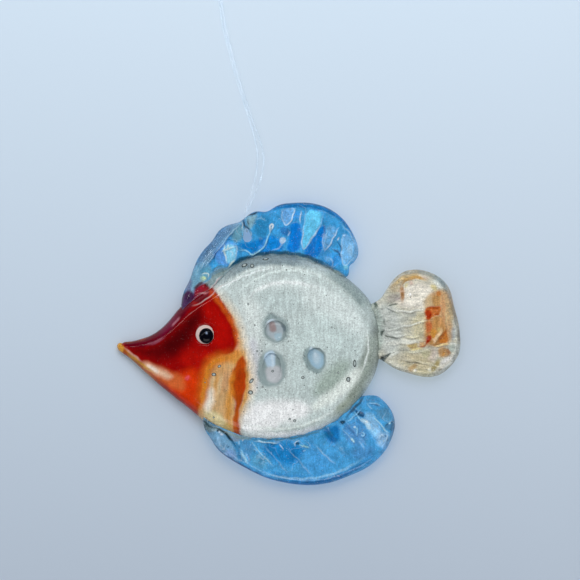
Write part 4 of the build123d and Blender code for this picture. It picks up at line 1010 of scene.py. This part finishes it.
TAIL_STROKES = [
    ("c6cbc6", 0.9, None, 10, [(376, 304), (392, 302), (404, 322), (400, 350), (386, 360),
        (374, 330)]),
    ("a6b4ad", 0.8, None, 6, [(366, 300), (377, 304), (384, 322), (382, 350), (374, 360),
        (364, 340)]),
    ("fff6e6", 0.85, None, 8, [(404, 286), (420, 283), (434, 286), (428, 298), (424, 308),
        (402, 309), (396, 300)]),
    ("d0c498", 0.6, None, 7, [(415, 313), (427, 312), (428, 340), (416, 342), (411, 328)]),
    ("c0c3ba", 0.6, 3, 5, [(396, 318), (410, 317)]),
    ("c6b596", 0.85, None, 6, [(388, 284), (400, 281), (400, 292), (389, 293)]),
    ("b3aca3", 0.8, None, 5, [(388, 294), (400, 293), (399, 303), (387, 303)]),
    ("c9bcba", 0.7, 1, 3, [(397, 297), (398, 300)]),
    ("cfc09a", 0.75, None, 9, [(404, 352), (420, 353), (434, 358), (432, 372), (412, 372),
        (398, 362)]),
    ("bdb7a6", 0.7, None, 7, [(392, 356), (404, 354), (414, 361), (402, 362)]),
    ("ded9d0", 0.75, None, 6, [(440, 362), (452, 354), (457, 350), (456, 362), (444, 371),
        (438, 370)]),
    ("c8bf96", 0.7, 2, 5, [(412, 373), (424, 375), (436, 373)]),
    ("cdbcb2", 0.7, None, 6, [(428, 350), (437, 348), (436, 360), (428, 362)]),
    ("beb98e", 0.6, None, 5, [(421, 349), (432, 350), (430, 358), (421, 357)]),
    # rim
    ("a3adae", 0.8, 1.4, 3, [(384, 292), (396, 279), (406, 272.5), (420, 271), (434, 274.5),
        (446, 286), (452, 300), (456, 318), (460, 334), (459, 350), (453, 363), (441, 373),
        (424, 376.5), (406, 372)]),
    ("84959c", 0.8, 1.8, 3, [(436, 275.5), (441, 280), (446, 286)]),
    ("dfe8e6", 0.6, 0.3, 1.2, [(383, 293), (389, 286), (395, 280), (402, 274.5)]),
    ("e6eeec", 0.6, 0.8, 2.5, [(431, 279), (438, 283.5), (443, 289)]),
    ("e6e6dc", 0.5, 0.3, 1.5, [(448, 300), (452, 316), (455, 330)]),
    ("3c4a4c", 0.85, 0.6, 1, [(436, 275.7)]),
    ("58625e", 0.7, 0.5, 1, [(428.5, 272.5)]),
    ("6c7674", 0.6, 0.3, 1.2, [(401, 273.8), (405, 272.4), (409, 271.8)]),
    ("7e8682", 0.6, 0.4, 1.2, [(457.8, 326), (459, 334), (460, 342)]),
    ("7e8682", 0.6, 0.4, 1.4, [(456, 358), (452, 365), (446, 370.5)]),
    ("b2babc", 0.85, None, 4, [(448.5, 327), (455.5, 327), (455.5, 339), (448.5, 340)]),
    # amber arcs
    ("e2c48e", 0.8, 0.8, 2.2, [(391, 287), (396, 282), (401, 279), (408, 276.5), (416, 275.3),
        (424, 277.5)], 0.12),
    ("c29448", 0.85, 0.8, 2, [(400.5, 284.5), (403.5, 281.2), (407, 279), (413, 277.3),
        (420, 277.8), (427, 280)], -0.12),
    ("9c7434", 0.6, 0.2, 1.2, [(401, 285), (404, 281.8), (408, 279.6)]),
    ("ac7c50", 0.9, 0.9, 2.2, [(400.8, 284), (401.5, 287), (402.3, 291), (401.6, 295),
        (402.6, 299), (402, 303)]),
    ("8f6a3c", 0.7, 0.5, 1.6, [(401.2, 293), (402.6, 296.5)]),
    ("dfc0a6", 0.7, 0.2, 1, [(396, 290.5), (402, 291.7), (405, 291.5)]),
    ("cbbf8a", 0.8, None, 3, [(404.5, 284), (408.5, 283), (407, 288.5), (404.5, 288)]),
    ("efd2c2", 0.85, 1, 2.5, [(409, 284), (412.5, 281.5)]),
    ("e4d0c0", 0.7, 0.3, 1.4, [(421, 275), (428, 279)]),
    # amber bar
    ("c79a66", 0.85, None, 5, [(424, 304), (433, 289), (446, 290), (450, 304), (452, 322),
        (451, 344), (436, 346), (423, 346), (424, 330)]),
    ("b88448", 0.8, None, 4, [(425, 318), (440, 314), (446, 326), (446, 342), (434, 345),
        (425, 344)]),
    ("cdb68e", 0.85, None, 5, [(424, 297), (433, 294), (434, 307), (423, 308.5)]),
    ("bc8f56", 0.9, None, 3, [(432, 295), (440.5, 294.5), (440.5, 306.5), (431.5, 307)]),
    ("c57a3c", 0.9, None, 2.2, [(436, 291), (440.5, 291), (440.8, 296), (435.5, 295.5)]),
    ("c9ba80", 0.8, None, 3, [(430, 284), (437, 286), (437, 290.5), (431, 290)]),
    ("cd9a6c", 0.9, 1, 2.2, [(442.3, 295), (443, 303), (443.5, 312), (444, 326)]),
    ("c8a97e", 0.85, 0.9, 2.2, [(446, 296), (447, 306), (448.3, 322)]),
    ("b3a27e", 0.8, 0.8, 2.4, [(449, 300), (450.5, 310), (452, 324)]),
    ("cfbb8c", 0.7, 0.3, 1.2, [(445, 312), (446.3, 324)]),
    ("c0682c", 0.95, None, 2.2, [(424.5, 307.8), (432, 307), (440.5, 305), (440.3, 314.5),
        (433, 316), (430, 320), (425.3, 319)], -0.1),
    ("98400f", 0.85, 0.6, 1.5, [(425, 308.3), (431.5, 307.9), (437.5, 307.3), (440, 305.4)]),
    ("a8300a", 0.95, None, 2.4, [(425.3, 310), (431.3, 310.5), (431, 318), (427, 319.5),
        (425.3, 316)]),
    ("8a1e00", 0.8, 0.8, 1.6, [(428.6, 315), (429.5, 316.5)]),
    ("983f10", 0.7, 0.3, 1.2, [(433.7, 314.4), (439.3, 313.6)]),
    ("c4683a", 0.9, 1.7, 2.2, [(428.8, 320), (428.6, 328), (429, 334)]),
    ("c08c50", 0.9, None, 2.4, [(432, 316.5), (438, 316), (437.8, 333), (431.5, 334)]),
    ("dca268", 0.8, 0.5, 1.8, [(439.6, 316), (440, 325)]),
    ("bfa868", 0.7, 1, 2.4, [(436, 329), (440, 330)]),
    ("c28636", 0.85, None, 2.4, [(430.5, 328), (437, 330), (435, 338), (431, 339)]),
    ("c27228", 0.9, None, 2.4, [(447, 330), (448, 343), (437.5, 344), (441.5, 337)]),
    ("9a5220", 0.85, 0.5, 1.6, [(447, 328.3), (444, 333.3), (440.2, 338), (437, 343)]),
    ("a82a0a", 0.95, None, 2.4, [(426.4, 335), (431.3, 335), (430.5, 341), (426, 344.5),
        (424.8, 343)]),
    ("8a1c00", 0.8, 0.7, 1.6, [(428, 340), (427, 342.5)]),
    ("9a4c18", 0.85, 0.4, 1.6, [(427, 344), (423, 346), (418, 347.4)]),
    ("8f6a2c", 0.8, 0.3, 1.3, [(408, 347.3), (413, 347.6), (419, 347)]),
    ("ecc898", 0.9, 0.5, 1.5, [(440.3, 327.5), (441.3, 330.5), (437.9, 335.5), (434.8, 339.5),
        (433.4, 343)], 0.12),
    ("f0caa2", 0.8, 0.5, 1.2, [(431.5, 340), (434, 339.5), (434, 342.5)]),
    ("8a5820", 0.8, 0.3, 1.2, [(432, 345.6), (437, 344.6), (441, 343.9)]),
    ("ffe0a0", 0.9, 0.4, 1.1, [(434.5, 346), (440, 345.2), (445, 344.4), (449.5, 343)], 0.12),
    # amber below the bar
    ("cf9a60", 0.8, 0.9, 2.4, [(418, 343.5), (424.5, 343.5)]),
    ("ccb070", 0.85, 0.9, 2, [(406, 345), (419, 345)]),
    ("bc8f58", 0.85, None, 3.5, [(437.5, 347.5), (445, 346.5), (450.5, 355), (446, 357.5),
        (438, 357)]),
    ("c48a48", 0.8, 1.6, 3, [(441.5, 352.5), (444.5, 353.5)]),
    ("a06c44", 0.8, 0.8, 2, [(446, 348.5), (448.5, 352), (449.5, 355)]),
    ("a6945a", 0.85, 1, 2.4, [(439.8, 358), (437.5, 362), (434.6, 366), (433, 370),
        (431.3, 372.5)]),
    ("c29e6c", 0.8, 0.9, 2.4, [(416.5, 364), (412, 367.5), (407.6, 371)]),
    ("b6c2ba", 0.85, None, 2.4, [(448.5, 345), (454.5, 343.8), (455.3, 349), (451, 352.3),
        (448.3, 350)]),
    ("e6ece6", 0.7, 0.3, 1.2, [(447.8, 345), (451, 342.8), (455, 343.8), (456, 348),
        (452.5, 352.5)]),
    # painted shade in the pockets by the body
    ("3f4e46", 0.9, 0.8, 2, [(373.5, 300.5), (375.2, 304), (376, 308)]),
    ("3c4842", 0.9, None, 2, [(379.5, 330.6), (385, 329.2), (382.8, 332.2), (383, 336),
        (380.5, 336)]),
    ("46504c", 0.95, None, 2, [(381, 355), (383.5, 355), (390.3, 352.5), (390.7, 353.7),
        (387.5, 357.3), (383.5, 362), (380.7, 363.8), (379, 367.4), (379.9, 360)]),
    ("161e1a", 0.8, 0.9, 1.4, [(382, 356), (382.2, 358.6)]),
    ("6e7a76", 0.7, 0.5, 1.6, [(379, 347.5), (380.5, 350)]),
    # ridges with painted highlights and painted shade on their sides, and painted glints
    ("4c5650", 0.8, 0.3, 1.1, [(386.7, 306.8), (391, 305.4), (395.5, 304.2), (399, 303)], -0.15),
    ("5c6660", 0.8, 0.3, 1.2, [(386.7, 307.6), (388.5, 309.6), (393, 310.8), (398, 312.3)]),
    ("b0b2aa", 0.7, 1, 2.5, [(401, 314), (418, 314)]),
    ("46524a", 0.85, 0.4, 1.2, [(383, 333.8), (387.5, 335.9), (393, 337.7), (399, 337.9)], -0.1),
    ("6c726a", 0.6, 0.2, 1.2, [(387, 329.5), (393, 328.2)]),
    ("5c5c4c", 0.75, 0.3, 1.1, [(401, 360.8), (411, 362), (418, 363.2), (422, 364)], -0.12),
    ("8a8c80", 0.6, 0.3, 1.2, [(400, 364), (407, 363), (413, 363.6)]),
    ("6c6458", 0.7, 0.3, 1.1, [(437.7, 369.8), (442, 368)]),
    ("76807a", 0.7, 0.3, 1.2, [(384, 318), (383.6, 322), (386, 325.5)]),
    ("8b918c", 0.5, 0.3, 1.4, [(394, 350), (404, 348.5), (409, 352)]),
    ("9a9c92", 0.5, 0.3, 1.6, [(410, 296), (420, 296), (426, 298)]),
    ("f0f2e8", 0.85, 0.3, 1.1, [(388, 307.8), (394.7, 310.8), (401, 311.4), (410.4, 311.6),
        (418, 310.2), (424, 308.6)], 0.2),
    ("e6eae2", 0.7, 0.3, 1.2, [(384, 332), (390.7, 329.6), (396.3, 328), (405, 325.8),
        (415, 324.2), (420, 322.3), (426, 320)], 0.2),
    ("f2ecc4", 0.85, 0.4, 1, [(420.5, 321.9), (424.2, 320.7)], 0.1),
    ("e6eae2", 0.75, 0.3, 1.2, [(384, 333.2), (387.5, 334.8), (392.3, 336), (395.5, 336.8),
        (401, 335.7), (407, 334.4)], 0.2),
    ("f4ecc8", 0.8, 0.3, 1.2, [(405, 337), (414, 336.7), (422, 336.4)], 0.1),
    ("eeeee2", 0.75, 0.6, 2.4, [(386, 345), (396, 342.4), (408, 341.8), (420, 341.6)], 0.15),
    ("e0cc8c", 0.85, 0.4, 1.3, [(408, 349.2), (416, 349), (424, 348)], 0.12),
    ("e8e6c8", 0.75, 0.4, 1.2, [(406, 352), (414, 351.5), (424, 351.3)], 0.1),
    ("e2e4dc", 0.6, 0.3, 1.4, [(389, 358), (394, 353.5), (400, 351)], 0.12),
    ("dcdccc", 0.7, 0.3, 1.2, [(386.7, 361.8), (393, 365.4), (401, 368)], 0.1),
    ("e0d8b8", 0.7, 0.3, 1.2, [(412, 361), (420, 361.6), (425, 363), (433.7, 365.4),
        (440, 366.8)], 0.15),
    ("ffffff", 0.9, 0.7, 1.1, [(408.4, 293.9), (411, 294.7)], 0.1),
    ("f6f2e2", 0.8, 0.8, 1.4, [(415.3, 370)]),
    ("f0f0e4", 0.6, 0.7, 2, [(428, 370.5), (431, 369)]),
    ("f2f0f0", 0.6, 0.5, 2, [(441, 364), (447, 359), (452, 356)]),
    ("ece8dc", 0.6, 0.4, 2, [(404, 290), (412, 287), (420, 285)]),
]
# Where the edges are clearer than the rest
TAIL_CLEAR = [
    (0.75, 1, 2, 3, [(388, 290), (396, 279), (406, 272), (420, 270), (436, 276), (447, 288),
        (453, 303), (457, 318), (461, 334), (460, 350), (454, 364), (442, 374)]),
]
DORSAL_CLEAR = [(0.75, 1, 5, 5, [(238, 224), (222, 236), (208, 254), (196, 274)])]
VENTRAL_CLEAR = [(0.8, 1, 4, 4, [(202, 420), (212, 428), (216, 430)])]
AMBER_BAR_RING = [
    (426, 297), (434, 289), (441, 289), (445, 300), (447, 318), (449, 332), (449, 343),
    (437, 344), (425, 345), (426, 334), (427, 320), (425, 308),
]
AMBER_ARC_RING = [
    (400, 300), (399.5, 291), (401, 284), (406, 278), (414, 275.5), (423, 276.5), (429, 280),
    (422, 279), (414, 278.5), (408, 281), (404, 287), (405, 299),
]
AMBER_FLOOR = 0.0039
TAIL_BASE = "cbc8b6"
FIN_CLEAR = 0.3
TAIL_CLEARNESS = 0.22
AMBER_CLEAR = 0.15
FIN_LIFT = 1.4
TAIL_LIFT = 1.25

dorsal = fused("glass_dorsal_fin", ["dorsal_fin"], *FIN_SKIN)
ventral = fused("glass_ventral_fin", ["ventral_fin"], *FIN_SKIN)
tail = fused("glass_tail_fin", ["tail_fin", "tail_amber_bar", "tail_amber_arc"], *TAIL_SKIN)
press(dorsal, DORSAL_STROKES)
press(ventral, VENTRAL_STROKES)
press(tail, TAIL_STROKES)
ambers = {}
for name, ring in (("amber_bar", AMBER_BAR_RING), ("amber_arc", AMBER_ARC_RING)):
    cutter = slab([place(*spot) for spot in ring], AMBER_FLOOR, BODY_TOP)
    ambers[name] = part_off(tail, cutter, "glass_tail_" + name)
paint(dorsal, "3f9bd6", FIN_CLEAR, DORSAL_STROKES, FIN_LIFT, DORSAL_CLEAR)
paint(ventral, "4a9fd8", FIN_CLEAR, VENTRAL_STROKES, FIN_LIFT, VENTRAL_CLEAR)
paint(tail, TAIL_BASE, TAIL_CLEARNESS, TAIL_STROKES, TAIL_LIFT, TAIL_CLEAR)
finish(dorsal, blue_glass, ["dorsal_fin"])
finish(ventral, blue_glass, ["ventral_fin"])
finish(tail, tail_glass, ["tail_fin"])
for name, piece in ambers.items():
    paint(piece, TAIL_BASE, AMBER_CLEAR, TAIL_STROKES, TAIL_LIFT)
    finish(piece, amber_glass, ["tail_" + name])


# ---- eye, beak tip and bubbles ----
BEAD_RINGS = 24
BEAD_CLEAR = 0.1


def bead(name, node, material, base, strokes=()):
    """A round bead of glass in the space of its solid."""
    low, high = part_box(node)
    form = bmesh.new()
    bmesh.ops.create_uvsphere(form, u_segments=2 * BEAD_RINGS, v_segments=BEAD_RINGS,
                              radius=1)
    bmesh.ops.scale(form, vec=(high - low) / 2, verts=form.verts)
    bmesh.ops.translate(form, vec=(low + high) / 2, verts=form.verts)
    piece = new_piece(name, form)
    paint(piece, base, BEAD_CLEAR, strokes)
    return finish(piece, material, [node])


GLINT = [("a9bcdc", 0.9, 0.3, 1.2, [(206.9, 331.8), (207.9, 334)])]
bead("eye_ring", "eye_white", white_glass, "e6cdc6")
bead("eye_dot", "eye_pupil", black_glass, "06060e", GLINT)
bead("beak_bead", "beak_tip", amber_glass, "e0a23c")

# Bubbles near the surface: place on the sheet, half its width and height in steps, and turn
# in degrees
BUBBLES = [
    (219.8, 365.8, 1.6, 1.2, 30), (214.3, 374, 2.0, 1.5, 0), (251.7, 380.3, 1.4, 2.6, -40),
    (250.8, 391.8, 2.2, 1.9, 0), (354.3, 363, 1.4, 3.2, 0), (348, 378.8, 1.9, 2.2, 0),
    (337.8, 372, 0.9, 0.9, 0), (302.7, 377, 1.5, 1.3, 0), (289.7, 418.4, 1.1, 1.1, 0),
    (294.6, 420, 1.4, 1.4, 0), (257.4, 350.8, 0.9, 0.9, 0), (262, 350.5, 0.9, 0.9, 0),
    (257.4, 387, 0.7, 0.7, 0), (262.8, 386.5, 0.9, 0.8, 0), (248.5, 304, 0.9, 0.9, 0),
    (255, 325, 0.8, 0.8, 0), (271.4, 313.4, 0.8, 0.8, 0), (288.4, 341, 0.7, 0.7, 0),
    (331.4, 327, 0.7, 0.7, 0), (286.5, 270, 0.7, 0.7, 0), (244.6, 265.3, 2.6, 1.8, 20),
    (252.3, 266, 1.8, 1.8, 0), (265.7, 259, 2.8, 1.6, 15), (272.5, 370.8, 1.0, 1.0, 0),
    (214, 417, 0.9, 0.9, 0), (205.5, 382, 0.6, 0.6, 0),
]
BUBBLE_RISE = 0.00012
BUBBLE_CLEAR = 0.3
# Bubbles are made this much wider than listed
WIDER = 1.15 * STEP
# A bubble has painted shade at its rim: it darkens from this share of its half width, over this
# much of it
RIM_START = 0.45
RIM_WIDTH = 0.35
ABOVE_ALL = 0.03
form = bmesh.new()
edge = form.verts.layers.float.new("edge")
for across, down, half_x, half_y, turn in BUBBLES:
    x, y = place(across, down)
    hit = None
    for holder in (body, cheek, head, gill, *drops.values()):
        found, spot, facing, _ = holder.ray_cast((x, y, ABOVE_ALL), (0, 0, -1))
        if found and (hit is None or spot.z > hit[0].z):
            hit = (spot.copy(), facing.copy())
    if hit is None:
        continue
    made = bmesh.ops.create_uvsphere(form, u_segments=18, v_segments=10, radius=1)["verts"]
    for vert in made:
        vert[edge] = math.hypot(vert.co.x, vert.co.y)
    bmesh.ops.scale(form, vec=(half_x * WIDER, half_y * WIDER, BUBBLE_RISE), verts=made)
    tilt = Vector((0, 0, 1)).rotation_difference(hit[1]).to_matrix()
    spun = Matrix.Rotation(math.radians(turn), 3, "Z")
    bmesh.ops.rotate(form, matrix=tilt @ spun, verts=made)
    bmesh.ops.translate(form, vec=hit[0], verts=made)
bubbles = new_piece("glass_bubbles", form)
share = np.zeros(len(bubbles.data.vertices))
bubbles.data.attributes["edge"].data.foreach_get("value", share)
rim = np.clip((share - RIM_START) / RIM_WIDTH, 0, 1)[:, None]
tints = linear("d3dfdd") * (1 - rim) + linear("2a3634") * rim
lay(bubbles, tints, np.full(len(share), BUBBLE_CLEAR))
bubbles.data.shade_smooth()
bubbles.data.materials.append(opal_glass)
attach(bubbles, "root")


# ---- floor, lamps and world ----
def floor_material():
    """Pale paper, with painted light: lighter towards the top and a little lighter towards the
    right.
    """
    m = Nodes(bpy.data.materials.new("pale_sheet"))
    where = m.add("ShaderNodeTexCoord").outputs["Object"]
    ways = m.add("ShaderNodeSeparateXYZ", {0: where}).outputs
    colour = m.mix(m.spread(ways["Y"], -0.07, 0.10, 0, 1), rgba("c1cddc"), rgba("daeaf9"))
    colour = m.mix(m.spread(ways["X"], 0.02, 0.08, 0, 0.1), colour, rgba("e4effc"))
    shader = m.add("ShaderNodeBsdfPrincipled", {
        "Base Color": colour, "Roughness": 0.7, "Specular IOR Level": 0.2})
    return m.end(shader.outputs[0])


FLOOR_SIDE = 2.4
FLOOR_DROP = 0.00005
form = bmesh.new()
bmesh.ops.create_grid(form, x_segments=1, y_segments=1, size=FLOOR_SIDE / 2)
bmesh.ops.translate(form, vec=(0, 0, -FLOOR_DROP), verts=form.verts)
floor = new_piece("floor", form)
floor.data.materials.append(floor_material())


def lamp(name, across, along, spot, power):
    """A flat white lamp that faces the part's origin."""
    light = bpy.data.lights.new(name, "AREA")
    light.shape = "RECTANGLE"
    light.size = across
    light.size_y = along
    light.energy = power
    holder = bpy.data.objects.new(name, light)
    holder.location = spot
    holder.rotation_euler = (-Vector(spot)).to_track_quat("-Z", "Y").to_euler()
    scene.collection.objects.link(holder)
    return holder


soft_window = lamp("soft_window", 0.5, 0.4, (0.04, 0.35, 0.55), 1.75)
soft_window.visible_glossy = False
lamp("strip_window", 0.7, 0.014, (-0.08, 0.16, 0.45), 0.28)
sheen = lamp("far_window", 0.4, 0.2, (-0.02, -0.26, 0.42), 0.5)
sheen.visible_diffuse = False
sheen.visible_transmission = False

def room():
    """A pale room. The camera and the glass see it with a dim ceiling, so that colours stay
    deep."""
    m = Nodes(bpy.data.worlds.new("room"))
    lit = m.add("ShaderNodeBackground", {"Color": (0.93, 0.97, 1.0, 1), "Strength": 0.5})
    where = m.add("ShaderNodeTexCoord").outputs["Generated"]
    up = m.add("ShaderNodeSeparateXYZ", {0: where}).outputs["Z"]
    pale = m.mix(m.spread(up, 0.05, 0.55, 0, 1), rgba("d0deec"), rgba("3c454e"))
    seen = m.add("ShaderNodeBackground", {"Color": pale})
    path = m.add("ShaderNodeLightPath").outputs
    sight = path["Is Camera Ray"]
    for ray in ("Is Glossy Ray", "Is Transmission Ray"):
        sight = m.reckon(sight, path[ray], "MAXIMUM")
    light = m.add("ShaderNodeMixShader", {0: sight, 1: lit.outputs[0], 2: seen.outputs[0]})
    return m.end(light.outputs[0], "ShaderNodeOutputWorld")


scene.world = room()

scene.view_settings.view_transform = "Standard"
